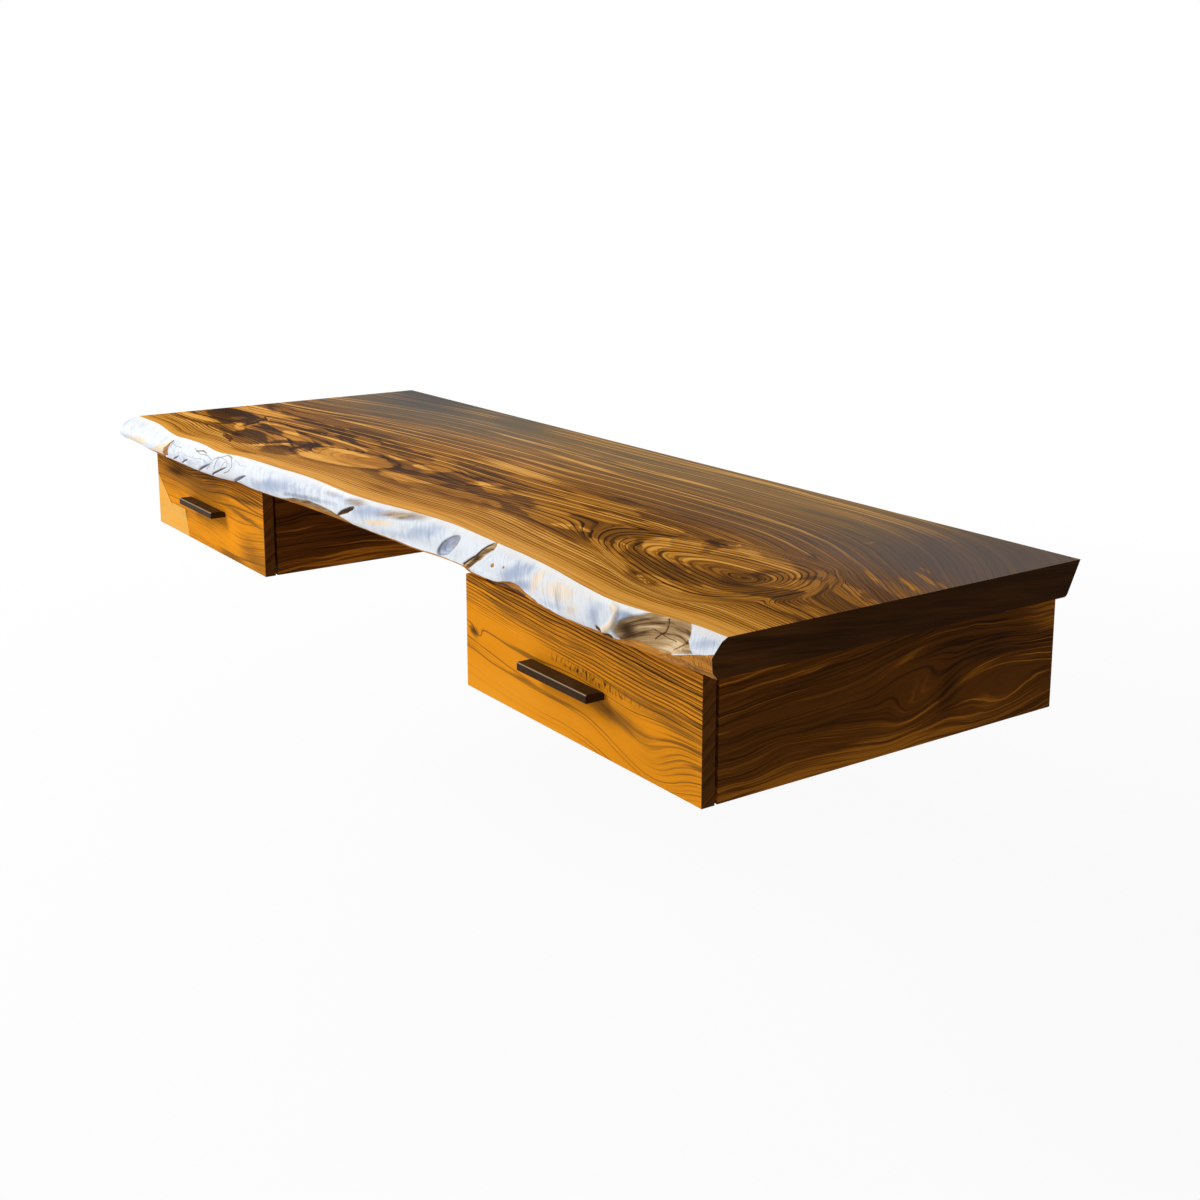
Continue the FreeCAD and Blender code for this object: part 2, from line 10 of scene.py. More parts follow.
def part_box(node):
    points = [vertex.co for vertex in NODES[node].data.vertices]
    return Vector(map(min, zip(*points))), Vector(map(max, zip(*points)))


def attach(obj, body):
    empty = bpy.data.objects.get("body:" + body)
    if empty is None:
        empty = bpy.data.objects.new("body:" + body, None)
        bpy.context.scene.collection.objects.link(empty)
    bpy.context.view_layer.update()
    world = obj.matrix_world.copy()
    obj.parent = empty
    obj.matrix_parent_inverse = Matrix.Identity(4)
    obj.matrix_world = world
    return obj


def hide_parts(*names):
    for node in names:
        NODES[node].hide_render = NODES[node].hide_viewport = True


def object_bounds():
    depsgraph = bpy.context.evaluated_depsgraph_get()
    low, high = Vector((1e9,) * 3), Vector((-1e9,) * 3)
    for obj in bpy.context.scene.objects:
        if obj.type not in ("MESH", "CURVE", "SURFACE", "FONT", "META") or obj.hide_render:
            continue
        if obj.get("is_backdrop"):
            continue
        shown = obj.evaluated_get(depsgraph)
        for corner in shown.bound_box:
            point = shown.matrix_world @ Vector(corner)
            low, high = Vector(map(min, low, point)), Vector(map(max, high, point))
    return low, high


bl_info = {
    "name": "Floating Wall Desk",
    "version": (1, 0, 0),
    "blender": (4, 5, 0),
    "location": "View3D > Sidebar > Desk",
    "description": "Live-edge wall desk with two drawer cases, and its studio",
    "category": "Add Mesh",
}

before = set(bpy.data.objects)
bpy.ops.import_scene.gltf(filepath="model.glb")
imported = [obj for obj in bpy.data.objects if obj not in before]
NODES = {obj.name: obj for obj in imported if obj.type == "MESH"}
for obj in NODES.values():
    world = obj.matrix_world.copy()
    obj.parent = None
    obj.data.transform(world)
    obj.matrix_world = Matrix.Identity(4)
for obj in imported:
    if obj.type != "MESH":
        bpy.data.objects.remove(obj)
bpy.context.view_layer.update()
SLAB_LOW, SLAB_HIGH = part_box("slab_top")
FRONT_LOW, FRONT_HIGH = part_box("right_drawer_front")
FRONT_NEAR, FRONT_FAR = FRONT_LOW.x, FRONT_HIGH.x
HANDLE_LOW, HANDLE_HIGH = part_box("right_handle")
MM = 0.001
CLOSE = 0.0001  # points this near each other, in metres, lie on the same line
SHARP = math.radians(60)  # steeper edges are shaded hard

# Stations of the live edge: place along the slab, then how far the top arris, the belly and the
# bottom arris stand from the wall, all in millimetres.
LIVE_EDGE = (
    (-900, 608, 649, 620), (-846, 608, 646, 625), (-792, 608.5, 645, 631), (-729, 617, 645, 633),
    (-639, 628, 646, 633), (-594, 622, 642, 633), (-522, 620, 640, 632), (-441, 625, 638, 626),
    (-387, 611, 626, 614), (-333, 604, 620, 615), (-261, 599, 616, 611), (-153, 589, 606, 600),
    (-9, 592, 602, 594), (72, 586, 598, 592), (144, 575, 592, 590), (198, 567, 585, 589),
    (261, 562, 578, 582), (320, 564, 580, 581), (360, 566, 584, 589), (410, 569, 590, 590),
    (477, 573, 592, 590), (558, 582, 600, 600), (639, 595, 610, 606), (711, 603, 612, 606),
    (774, 597, 607, 603), (837, 585.5, 606, 602), (900, 584, 606, 600),
)
SHOULDER_DROP = 7.0     # slab top to the shoulder of the live edge
SHOULDER_SHARE = 0.58   # how much of the belly the shoulder already has
HIP_SHARE = 0.3        # how much of the way back to the bottom arris the hip already has
SCOOP_DEPTH = 3.5       # how far the brown scoop under the middle is cut back
LEDGE_DEPTH = 2.5       # how far the ledge over the right drawer is cut back
SLOPE_STEP = 0.04       # share of the thickness over which the edge's slope is taken
END_START = (825, 875)  # where along the slab the right end's own profile takes over
# Profile of the right end: depth and distance from the wall.
END_PROFILE = ((0, 584), (4, 591.5), (20, 606), (37.6, 605.5), (44.4, 600), (46, 598))
TONES = ("bare", "dark_lines_and_shade", "cream", "painted_blue_shade", "heart")


# ---- settings -----------------------------------------------------------------------------
def colour(name, description, value):
    return FloatVectorProperty(name=name, description=description, default=value, size=3,
                               min=0.0, max=1.0, subtype="COLOR")


def length(name, description, value):
    return FloatProperty(name=name, description=description, default=value, min=0.0,
                         unit="LENGTH", subtype="DISTANCE")


def position(name, description, value):
    return FloatVectorProperty(name=name, description=description, default=value, size=3,
                               unit="LENGTH", subtype="TRANSLATION")


def watts(name, description, value):
    return FloatProperty(name=name, description=description, default=value, min=0.0, unit="POWER")


def share(name, description, value):
    return FloatProperty(name=name, description=description, default=value, min=0.0, max=1.0,
                         subtype="FACTOR")


class SlabSettings(bpy.types.PropertyGroup):
    columns: IntProperty(name="Columns", description="Faces along the live edge", default=1500, min=60)
    rows: IntProperty(name="Rows", description="Faces down the live edge", default=40, min=8)
    rear_lean: length("Rear lean", "How far the rear face leans in at the underside", 0.024)
    rear_round: length("Rear round", "Round on the lower rear arris", 0.004)
    ripple: length("Ripple", "Height of the low waves on the live edge", 0.0014)
    dark: colour("Dark figure", "Darkest heartwood lines", (0.05, 0.016, 0.001))
    brown: colour("Brown figure", "Brown heartwood", (0.165, 0.062, 0.006))
    golden: colour("Golden figure", "Main heartwood", (0.35, 0.13, 0.011))
    amber: colour("Amber figure", "Bright heartwood", (0.6, 0.24, 0.022))
    tan: colour("Tan figure", "Palest heartwood", (0.95, 0.46, 0.085))
    plum: colour("Plum figure", "Greyish purple heartwood", (0.14, 0.114, 0.112))
    # painted sheen: grey-blue that stands in for a reflection at the wall side's left end
    painted_sheen: colour("Painted sheen", "Greyed heartwood at the wall side's left end", (0.078, 0.082, 0.086))
    # painted sheen: pale grey-brown that stands in for a reflection along the wall side
    painted_rear_sheen: colour("Painted rear sheen", "Painted pale sheen along the wall side", (0.49, 0.41, 0.26))
    silver: colour("Silver sapwood", "Main colour of the live edge", (0.76, 0.81, 0.88))
    # painted highlight: pale white along the live edge's top arris
    rim: colour("Painted arris highlight", "Painted highlight along the slab's upper arris", (0.93, 0.92, 0.9))
    # painted shade: bluish grey that stands in for shade on the live edge
    painted_blue_shade: colour("Painted blue shade", "Painted bluish shade on the live edge", (0.37, 0.45, 0.62))
    stroke: colour("Sapwood strokes", "Fine grey-blue strokes of the live edge", (0.3, 0.35, 0.46))
    cream: colour("Cream sapwood", "Warm patches of the live edge", (0.92, 0.74, 0.52))
    bare: colour("Bare wood", "Wood in the hollows of the live edge", (0.42, 0.26, 0.11))
    bare_dark: colour("Bare wood dark", "Dark grain in the hollows", (0.1, 0.045, 0.012))
    bare_light: colour("Bare wood light", "Light grain in the hollows", (0.78, 0.58, 0.35))
    end_dark: colour("End grain dark", "Dark rings on the slab's ends", (0.014, 0.005, 0.001))
    end_light: colour("End grain light", "Light rings on the slab's ends", (0.098, 0.034, 0.006))


class WoodSettings(bpy.types.PropertyGroup):
    front_dark: colour("Front dark", "Darkest lines of the drawer fronts", (0.065, 0.022, 0.003))
    front_brown: colour("Front brown", "Brown lines of the drawer fronts", (0.29, 0.115, 0.013))
    front_main: colour("Front main", "Main colour of the drawer fronts", (0.8, 0.285, 0.009))
    front_light: colour("Front light", "Light streaks of the drawer fronts", (0.9, 0.37, 0.026))
    front_sap: colour("Front sapwood", "Pale patch of the left drawer front", (0.74, 0.44, 0.115))
    end_dark: colour("Front end dark", "Dark rings on the drawer fronts' ends", (0.045, 0.014, 0.002))
    end_light: colour("Front end light", "Light rings on the drawer fronts' ends", (0.15, 0.052, 0.008))
    case_dark: colour("Case dark", "Dark streaks of the case sides", (0.034, 0.01, 0.001))
    case_main: colour("Case main", "Main colour of the case sides", (0.125, 0.038, 0.003))
    case_light: colour("Case light", "Light streaks of the case sides", (0.42, 0.145, 0.012))
    panel_main: colour("Panel main", "Case bottoms, backs and rails", (0.36, 0.17, 0.05))
    box_main: colour("Box main", "Drawer boxes", (0.66, 0.46, 0.24))
    ply_main: colour("Plywood face", "Veneer of the cleats", (0.62, 0.42, 0.22))
    ply_dark: colour("Plywood layers", "Dark layers on the cleats' edges", (0.3, 0.17, 0.08))
    beech: colour("Beech", "Dowels", (0.66, 0.42, 0.22))


class MetalSettings(bpy.types.PropertyGroup):
    bronze: colour("Bronze", "Handles", (0.038, 0.018, 0.006))
    bronze_worn: colour("Worn bronze", "Rubbed parts of the handles", (0.095, 0.054, 0.027))
    # painted highlight on the handles' upper arris
    bronze_highlight: colour("Bronze highlight", "Painted highlight on the handles' upper arris", (0.42, 0.31, 0.2))
    zinc: colour("Zinc", "Slides", (0.62, 0.64, 0.66))
    steel: colour("Steel", "Ball cages and balls", (0.7, 0.7, 0.69))
    screw: colour("Screws", "Screws", (0.55, 0.55, 0.54))
    rubber: colour("Rubber", "Bumpers", (0.02, 0.02, 0.02))
    bronze_roughness: share("Bronze roughness", "Roughness of the handles", 0.38)


class StageSettings(bpy.types.PropertyGroup):
    lens: FloatProperty(name="Lens", description="Focal length of the camera", default=47.86, min=1.0,
                        unit="CAMERA")
    camera_place: position("Camera", "Where the camera stands", (2.1759, -1.6413, 0.6441))
    camera_turn: FloatVectorProperty(name="Camera turn", description="How the camera is turned", size=3,
                                     default=(math.radians(78.8), 0.0, math.radians(55.12)),
                                     subtype="EULER")
    camera_rise: FloatProperty(name="Frame shift", description="Vertical shift of the frame",
                               default=-0.111)
    floor_level: FloatProperty(name="Floor", description="Height of the floor below the wall screws",
                               default=-0.62, unit="LENGTH", subtype="DISTANCE")
    floor_size: length("Floor size", "Side of the floor", 60.0)
    floor_tone: share("Floor tone", "Brightness of the floor", 0.86)
    floor_glow: share("Floor glow", "Share of the floor that is plain white to the camera", 0.93)
    key_power: watts("Key", "Power of the front light", 175.0)
    key_size: length("Key size", "Side of the front light", 2.2)
    key_place: position("Key place", "Where the front light stands", (-1.9, -3.5, 2.7))
    key_tint: colour("Key tint", "Colour of the front light", (1.0, 0.985, 0.96))
    window_power: watts("Window", "Power of the light behind the left end", 12.0)
    window_size: length("Window size", "Side of the light behind the left end", 1.1)
    window_place: position("Window place", "Where the light behind the left end stands",
                           (-2.9, 1.0, 0.75))
    window_tint: colour("Window tint", "Colour of the light behind the left end", (0.72, 0.84, 1.0))
    fill: FloatProperty(name="Fill", description="Brightness of the surroundings", default=0.3)


# ---- node graphs --------------------------------------------------------------------------
class Field:
    """A value that varies over a surface: one output socket of a material's node graph."""

    def __init__(self, graph, socket):
        self.graph = graph
        self.socket = socket

    def __add__(self, other):
        return self.graph.math("ADD", self, other)

    def __radd__(self, other):
        return self.graph.math("ADD", other, self)

    def __sub__(self, other):
        return self.graph.math("SUBTRACT", self, other)

    def __rsub__(self, other):
        return self.graph.math("SUBTRACT", other, self)

    def __mul__(self, other):
        return self.graph.math("MULTIPLY", self, other)

    def __rmul__(self, other):
        return self.graph.math("MULTIPLY", other, self)

    def __truediv__(self, other):
        return self.graph.math("DIVIDE", self, other)


class Graph:
    """The nodes of one material or world, built from fields."""

    def __init__(self, name, kind="Material"):
        self.owner = getattr(bpy.data, kind.lower() + "s").new(name)
        self.owner.use_nodes = True
        self.tree = self.owner.node_tree
        self.tree.nodes.clear()
        self.output = self.add("ShaderNodeOutput" + kind)
        if kind == "Material":
            self.place = Field(self, self.add("ShaderNodeTexCoord").outputs["Object"])
            split = self.add("ShaderNodeSeparateXYZ")
            self.feed(split.inputs[0], self.place)
            self.x, self.y, self.z = (Field(self, s) for s in split.outputs)

    def add(self, kind, **settings):
        node = self.tree.nodes.new(kind)
        for key, value in settings.items():
            setattr(node, key, value)
        return node

    def feed(self, socket, value):
        """Links a field to a socket, or sets the socket to a plain value."""
        if isinstance(value, Field):
            self.tree.links.new(value.socket, socket)
        elif socket.type == "RGBA":
            socket.default_value = (*value[:3], 1.0)
        else:
            socket.default_value = value

    def math(self, operation, *values, clamp=False):
        """One step of arithmetic. clamp holds the result between 0 and 1."""
        node = self.add("ShaderNodeMath", operation=operation, use_clamp=clamp)
        for socket, value in zip(node.inputs, values):
            self.feed(socket, value)
        return Field(self, node.outputs[0])

    def vector(self, x=0.0, y=0.0, z=0.0):
        node = self.add("ShaderNodeCombineXYZ")
        for socket, value in zip(node.inputs, (x, y, z)):
            self.feed(socket, value)
        return Field(self, node.outputs[0])

    def noise(self, place, scale=1.0, detail=2.0, rough=0.5, swirl=0.0):
        """Noise about zero, from -1 to 1."""
        node = self.add("ShaderNodeTexNoise", noise_dimensions="3D")
        for name, value in (("Vector", place), ("Scale", scale), ("Detail", detail),
                            ("Roughness", rough), ("Distortion", swirl)):
            self.feed(node.inputs[name], value)
        return (Field(self, node.outputs["Fac"]) - 0.5) * 2.0

    def steps(self, value, low, high, to_low=0.0, to_high=1.0):
        """A smooth step from to_low, where value is low, to to_high, where it is high."""
        node = self.add("ShaderNodeMapRange", interpolation_type="SMOOTHSTEP")
        for socket, given in zip(node.inputs, (value, low, high, to_low, to_high)):
            self.feed(socket, given)
        return Field(self, node.outputs[0])

    def ramp(self, value, stops):
        """Colours by value: stops are pairs of place and colour."""
        node = self.add("ShaderNodeValToRGB")
        node.color_ramp.interpolation = "LINEAR" if len(stops) > 4 else "EASE"
        elements = node.color_ramp.elements
        while len(elements) < len(stops):
            elements.new(1.0)
        for element, (where, tint) in zip(elements, stops):
            element.position = where
            element.color = (*tint[:3], 1.0)
        self.feed(node.inputs[0], value)
        return Field(self, node.outputs[0])

    def mix(self, share_of_b, a, b):
        """Colour a with a share of colour b over it."""
        node = self.add("ShaderNodeMix", data_type="RGBA", clamp_factor=True)
        self.feed(node.inputs["Factor"], share_of_b)
        for socket, value in zip((s for s in node.inputs if s.type == "RGBA"), (a, b)):
            self.feed(socket, value)
        return Field(self, next(s for s in node.outputs if s.type == "RGBA"))

    def curve(self, value, points):
        """A smooth curve through points of place and value, both from 0 to 1."""
        node = self.add("ShaderNodeFloatCurve")
        line = node.mapping.curves[0]
        for _ in range(len(points) - 2):
            line.points.new(0.5, 0.5)
        for point, place in zip(line.points, points):
            point.location = place
        node.mapping.update()
        self.feed(node.inputs["Factor"], 1.0)
        self.feed(node.inputs["Value"], value)
        return Field(self, node.outputs[0])

    def spot(self, place, centre, size, turn=0.0):
        """One at the middle of an oval patch of a flat place, falling softly to zero round it."""
        local = self.add("ShaderNodeMapping", vector_type="TEXTURE")
        for name, value in (("Vector", place), ("Location", (*centre, 0.0)),
                            ("Rotation", (0.0, 0.0, math.radians(turn))), ("Scale", (*size, 1.0))):
            self.feed(local.inputs[name], value)
        square = self.add("ShaderNodeVectorMath", operation="DOT_PRODUCT")
        for socket in square.inputs[:2]:
            self.tree.links.new(local.outputs[0], socket)
        return self.math("EXPONENT", Field(self, square.outputs["Value"]) * -1.0)

    def attribute(self, name):
        node = self.add("ShaderNodeAttribute", attribute_name=name)
        return Field(self, node.outputs["Fac"])

    def bump(self, height, distance, strength):
        node = self.add("ShaderNodeBump")
        for name, value in (("Strength", strength), ("Distance", distance), ("Height", height)):
            self.feed(node.inputs[name], value)
        return Field(self, node.outputs[0])

    def finish(self, **sockets):
        """The surface itself: Principled BSDF with the given sockets. Underscores stand for spaces."""
        shader = self.add("ShaderNodeBsdfPrincipled")
        for name, value in sockets.items():
            self.feed(shader.inputs[name.replace("_", " ")], value)
        self.tree.links.new(shader.outputs[0], self.output.inputs[0])
        return self.owner

    def oiled(self, base, rough, relief, coat=0.05, coat_rough=0.35):
        """Wood with a thin satin coat and no other gloss."""
        return self.finish(Base_Color=base, Roughness=rough, Normal=relief, Specular_IOR_Level=0.0,
                           Coat_Weight=coat, Coat_Roughness=coat_rough)

    def shown_or_lit(self, lit, shown, share):
        """Two shaders: the surface is shown by share of the second to the camera, gloss and glass,
        and is lit by the first for all other rays."""
        path = self.add("ShaderNodeLightPath")
        seen = [Field(self, path.outputs[f"Is {ray} Ray"])
                for ray in ("Camera", "Glossy", "Transmission")]
        direct = self.math("MAXIMUM", seen[0], self.math("MAXIMUM", *seen[1:]))
        mixer = self.add("ShaderNodeMixShader")
        self.feed(mixer.inputs[0], direct * share)
        for shader, socket in ((lit, mixer.inputs[1]), (shown, mixer.inputs[2])):
            self.tree.links.new(shader.outputs[0], socket)
        self.tree.links.new(mixer.outputs[0], self.output.inputs[0])
        return self.owner


# ---- wood ---------------------------------------------------------------------------------
def streaks(graph, growth, along, fineness, reach, detail=2.0, seed=0.0):
    """Noise drawn out along the grain: it changes fast with growth and slowly along the board."""
    return graph.noise(graph.vector(growth * fineness, along * reach, seed), detail=detail)


def regular_rings(graph, growth, gap, shift):
    """Regular rings: a sine of growth with one crest every gap."""
    return graph.math("SINE", growth * (2 * math.pi / gap) + shift)


def ridge(graph, value, width):
    """Thin lines where a noise passes through zero."""
    return graph.steps(graph.math("ABSOLUTE", value), width, 0.0)


def ovals(graph, across, up, table):
    """The rows of a table of ovals: the height of each one's middle, its soft spot and its last
    two numbers. Places and half sizes are in millimetres."""
    flat = graph.vector(across, up)
    for x, y, half_length, half_width, turn, *last in table:
        size = (half_length * MM, half_width * MM)
        yield y * MM, graph.spot(flat, (x * MM, y * MM), size, turn), last


def flow(graph, across, up, table):
    """How far the growth lines are shifted: each oval lifts them, or spreads them away from its
    own middle line."""
    lift = 0.0
    for middle, patch, (rise, spread) in ovals(graph, across, up, table):
        if rise:
            lift = patch * (rise * MM) + lift
        if spread:
            lift = (middle - up) * patch * spread + lift
    return lift


def drop(graph, across, up, place, size, tail):
    """Distance from the heart of a drop that points left, 1 on its outline: size is its half width
    and half height, tail is the half width to the left."""
    side = across - place[0]
    width = side / graph.steps(side, -0.08, 0.06, tail, size[0])
    height = (up - place[1]) / graph.steps(side, -tail, 0.0, size[1] * 0.5, size[1])
    return graph.math("SQRT", width * width + height * height)


OUTLINE = 0.368  # a spot's value on its oval
CRISP = 0.07     # outlines crisper than this are lined


def patches(graph, across, up, table):
    """Lighter and darker patches. One with an edge has a clear outline, and the crispest are lined
    with a dark growth line."""
    tint = 0.0
    for _, patch, (shade, edge) in ovals(graph, across, up, table):
        tint = (graph.steps(patch, OUTLINE - edge, OUTLINE + edge) if edge else patch) * shade + tint
        if 0 < edge < CRISP:
            tint -= ridge(graph, patch - OUTLINE + edge * 1.5, 0.04) * 0.14
    return tint


# Where the slab's growth lines bend: place, half size, turn, rise, spread. All are in millimetres
# and degrees but the spread, which is a share.
SLAB_FLOW = (
    (500, -414, 300, 120, -3, 0, 0.8), (1080, -260, 300, 260, 0, 240, 0),
    (-40, -405, 260, 75, 2, 20, 0.75), (-360, -480, 300, 70, 3, 20, 0.75),
    (-250, -468, 120, 46, 6, 34, 0), (-1050, -250, 450, 220, 0, 120, 0),
    (657, -515, 35, 14, -12, 16, 0),
)

# Patches of the slab's figure: place, half size, turn, tint, softness of the outline (0 for none).
SLAB_PATCHES = (
    (735, -405, 40, 46, -10, -0.2, 0.2), (-800, -450, 100, 40, -6, -0.26, 0.08),
    (-765, -457, 20, 18, 20, 0.12, 0.2), (-800, -388, 105, 17, 10, 0.36, 0.14),
    (-700, -440, 60, 7, -52, -0.3, 0.14), (-684, -440, 55, 5, -52, 0.2, 0.14),
    (-668, -492, 45, 10, -20, 0.34, 0.16), (-600, -434, 85, 14, -6, 0.3, 0.08),
    (-500, -455, 75, 20, -10, 0.28, 0.1), (-560, -520, 78, 38, -16, -0.26, 0.08),
    (-665, -530, 90, 9, -4, -0.24, 0.12), (-415, -508, 74, 50, -14, -0.3, 0.08),
    (-462, -522, 36, 10, 62, 0.42, 0.16), (-436, -494, 24, 9, 10, 0.3, 0.16),
    (-268, -470, 142, 60, 8, -0.14, 0.08), (-272, -468, 124, 46, 8, 0.46, 0.06),
    (-330, -515, 50, 18, 20, 0.16, 0.12), (-330, -440, 90, 10, 4, 0.3, 0.14),
    (-815, -513, 80, 10, 3, 0.32, 0.16), (-800, -538, 100, 5, 4, -0.3, 0.12),
    (-580, -557, 55, 4, -14, -0.4, 0.12), (-430, -590, 55, 10, 8, -0.26, 0.15),
    (-130, -402, 85, 26, 14, -0.2, 0.1), (-107, -390, 44, 16, 14, 0.4, 0.1),
    (-10, -405, 60, 26, 8, -0.22, 0.1), (50, -387, 30, 14, 30, 0.34, 0.14),
    (62, -405, 18, 6, 30, -0.35, 0.1), (-50, -460, 78, 22, 16, 0.28, 0.08),
    (385, -436, 36, 12, 14, 0.28, 0.12), (500, -430, 45, 12, -34, 0.26, 0.12),
    (575, -345, 42, 10, -52, -0.24, 0.12), (530, -395, 20, 40, 40, 0.18, 0.1),
    (665, -325, 80, 16, -8, 0.24, 0.1), (470, -350, 80, 16, 6, -0.2, 0.12),
    (655, -515, 40, 12, -12, -0.34, 0.2), (648, -511, 6, 2, -20, 0.8, 0),
    (662, -517, 4, 2, -30, 0.8, 0), (675, -522, 6, 2, -20, 0.8, 0), (585, -318, 9, 3, -40, 0.6, 0),
    (680, -160, 9, 3, -50, 0.5, 0), (700, -268, 20, 6, -30, -0.35, 0),
    (-380, -30, 160, 60, -18, -0.3, 0),
)
# Slender pale strokes near the right end, in the same columns.
SLAB_FLECKS = (
    (859, -270, 32, 5, -26, 0.34, 0.3), (853, -233, 32, 4, -26, 0.32, 0.3),
    (885, -240, 18, 3, -26, 0.28, 0.3), (805, -279, 28, 4, -30, 0.26, 0.3),
    (826, -205, 16, 3, -20, 0.22, 0.3),
)
# Large features of the figure, in metres: middle, half size and, where it is turned, the turn.
EYE = ((0.66, -0.415), (0.22, 0.12))
# The next spot is painted sheen: a grey-blue reflection over the wall side's left end.
PAINTED_SHEEN = ((-0.8, -0.02), (0.3, 0.15), -12)
PLUM_CORNER = ((0.82, -0.1), (0.2, 0.19))
PLUM_STREAK = ((0.45, -0.23), (0.3, 0.07))
# The growth lines round the eye: their heart, half size and the length of their pointed end.
EYE_LOOPS = ((0.722, -0.412), (0.104, 0.126), 0.4)


def figured_wood(settings):
    """The slab's heartwood: lines that follow the live edge and flow round eyes and knots."""
    g = Graph("slab_heartwood")
    # how far behind the live edge a point is, and growth, which is the same all along a line
    x_share = (g.x + SLAB_HIGH.x) * (1.0 / (SLAB_HIGH.x - SLAB_LOW.x))
    edge = g.curve(x_share, [((x + 900) / 1800, (top - 550) / 100) for x, top, _, _ in LIVE_EDGE])
    reach = edge * 0.1 + 0.55
    behind = reach + g.y
    warp = g.noise(g.vector(g.x * 1.6, g.y * 3.2), detail=1.0)
    wander = g.noise(g.vector(g.x * 5.0, g.y * 12.0, 3.0))
    inland = g.steps(behind, 0.02, 0.25)
    lift = flow(g, g.x + wander * 0.01, g.y + wander * 0.003 + warp * 0.008, SLAB_FLOW)
    growth = behind + (0.6 - reach) * inland + warp * inland * 0.016 + wander * inland * 0.004 + lift
    loop = drop(g, g.x + wander * 0.012 + warp * 0.01, g.y + wander * 0.004 + warp * 0.012,
                *EYE_LOOPS)
    inside = g.steps(loop, 1.12, 0.84) * g.steps(g.x, 0.3, 0.54)
    growth += ((1.0 - loop) * 0.11 + wander * 0.004 + 0.19 - growth) * inside
    cloud = g.noise(g.vector(g.x * 5.0 + growth * 6.0, g.y * 15.0 + growth * 9.0, 7.0),
                    detail=3.0, rough=0.55, swirl=0.6)
    lively = g.steps(behind, 0.34, 0.24) * g.steps(behind, 0.07, 0.11)
    ragged = g.noise(g.vector(g.x * 20.0 + growth * 40.0, g.y * 60.0, 11.0), detail=3.0, swirl=0.8)
    tint = patches(g, g.x + wander * 0.03 + cloud * 0.022 + ragged * 0.012,
                   g.y + wander * 0.009 + cloud * 0.009 + ragged * 0.006, SLAB_PATCHES)
    flecks = patches(g, g.x + wander * 0.006, g.y + ragged * 0.002, SLAB_FLECKS)
    busy = 1.0 - g.steps(g.math("ABSOLUTE", tint), 0.1, 0.24) * g.steps(g.x, -0.02, -0.12) * 0.6
    eye = g.spot(g.place, *EYE)
    outline = g.spot(g.vector(loop, 0.0), (0.98, 0.0), (0.2, 1.0)) * g.steps(g.x, 0.45, 0.7)
    # grain, from broad to fine
    broad = streaks(g, growth, g.x, 20.0, 0.9, 1.0, 1.0)
    band = streaks(g, growth + cloud * lively * 0.014, g.x, 60.0, 1.6, 1.0, 5.0)
    thread = streaks(g, growth + cloud * lively * 0.01, g.x, 170.0, 3.0, 1.0, 9.0)
    hair = streaks(g, growth, g.x, 620.0, 9.0, 2.0, 14.0)
    tone = 0.45 + eye * 0.05 + g.steps(broad, -0.4, 0.4, -0.1, 0.08) + hair * 0.12 + tint + flecks
    tone += thread * (0.13 + eye * 0.04) * busy
    tone += g.steps(cloud, -0.05, 0.07, -0.17, 0.13) * (0.12 + lively) * busy
    tone = tone + g.steps(behind, 0.1, 0.4, 0.07, 0.0) + g.steps(behind, 0.12, 0.03, 0.0, 0.16) * busy
    # dark growth lines, closer together along the live edge
    near = behind + g.steps(g.x, -0.45, -0.75, 0.0, 0.016)
    front = g.steps(near, 0.022, 0.03) * g.steps(behind, 0.12, 0.085)
    front *= g.steps(g.x, -0.62, -0.45, 0.85, 1.0)
    rings = regular_rings(g, growth, 0.0082, band * 3.0)
    close = regular_rings(g, growth, 0.0036, band * 3.0)
    weight = g.steps(broad + thread * 0.8, -0.3, 0.4, 0.12, 0.54)
    grouped = g.steps(thread + band * 0.7, -0.45, 0.5, 0.02, 0.52)
    tone = tone + front * 0.22 - g.steps(rings, 0.5, 0.95) * (weight + front * (grouped + 0.14)) * busy
    tone -= g.steps(close, 0.2, 0.9) * (eye * 0.12 + 0.06)
    tone -= g.steps(rings, 0.3, 0.92) * outline * 0.16
    tone -= ridge(g, band, 0.1) * 0.24 * busy
    # pale veins towards the wall
    pale = ridge(g, streaks(g, growth, g.x, 34.0, 0.5, 0.0, 12.0), 0.09)
    finer = ridge(g, streaks(g, growth, g.x, 95.0, 0.9, 0.0, 16.0), 0.12)
    inner = g.steps(behind, 0.14, 0.24) * g.steps(g.x, 0.95, 0.55)
    tone += (pale * 0.66 + finer * 0.28) * inner * busy
    # plain pale wood next to the live edge, and a calmer left end
    plain = g.steps(near + thread * 0.008 + band * 0.005, 0.04, 0.024)
    tone += (0.93 + thread * 0.22 + hair * 0.16 - tone) * plain * 0.9
    left = g.steps(g.x, -0.2, -0.45) * g.steps(behind, 0.03, 0.06)
    tone += ((tone - 0.5) * 0.35 - 0.05) * left
    base = g.ramp(tone, ((0.0, settings.dark), (0.25, settings.brown), (0.5, settings.golden),
                         (0.75, settings.amber), (1.0, settings.tan)))
    # painted sheen: towards the wall the wood is mixed towards a pale grey-brown
    base = g.mix(g.steps(behind, 0.24, 0.55, 0.0, 0.34), base, settings.painted_rear_sheen)
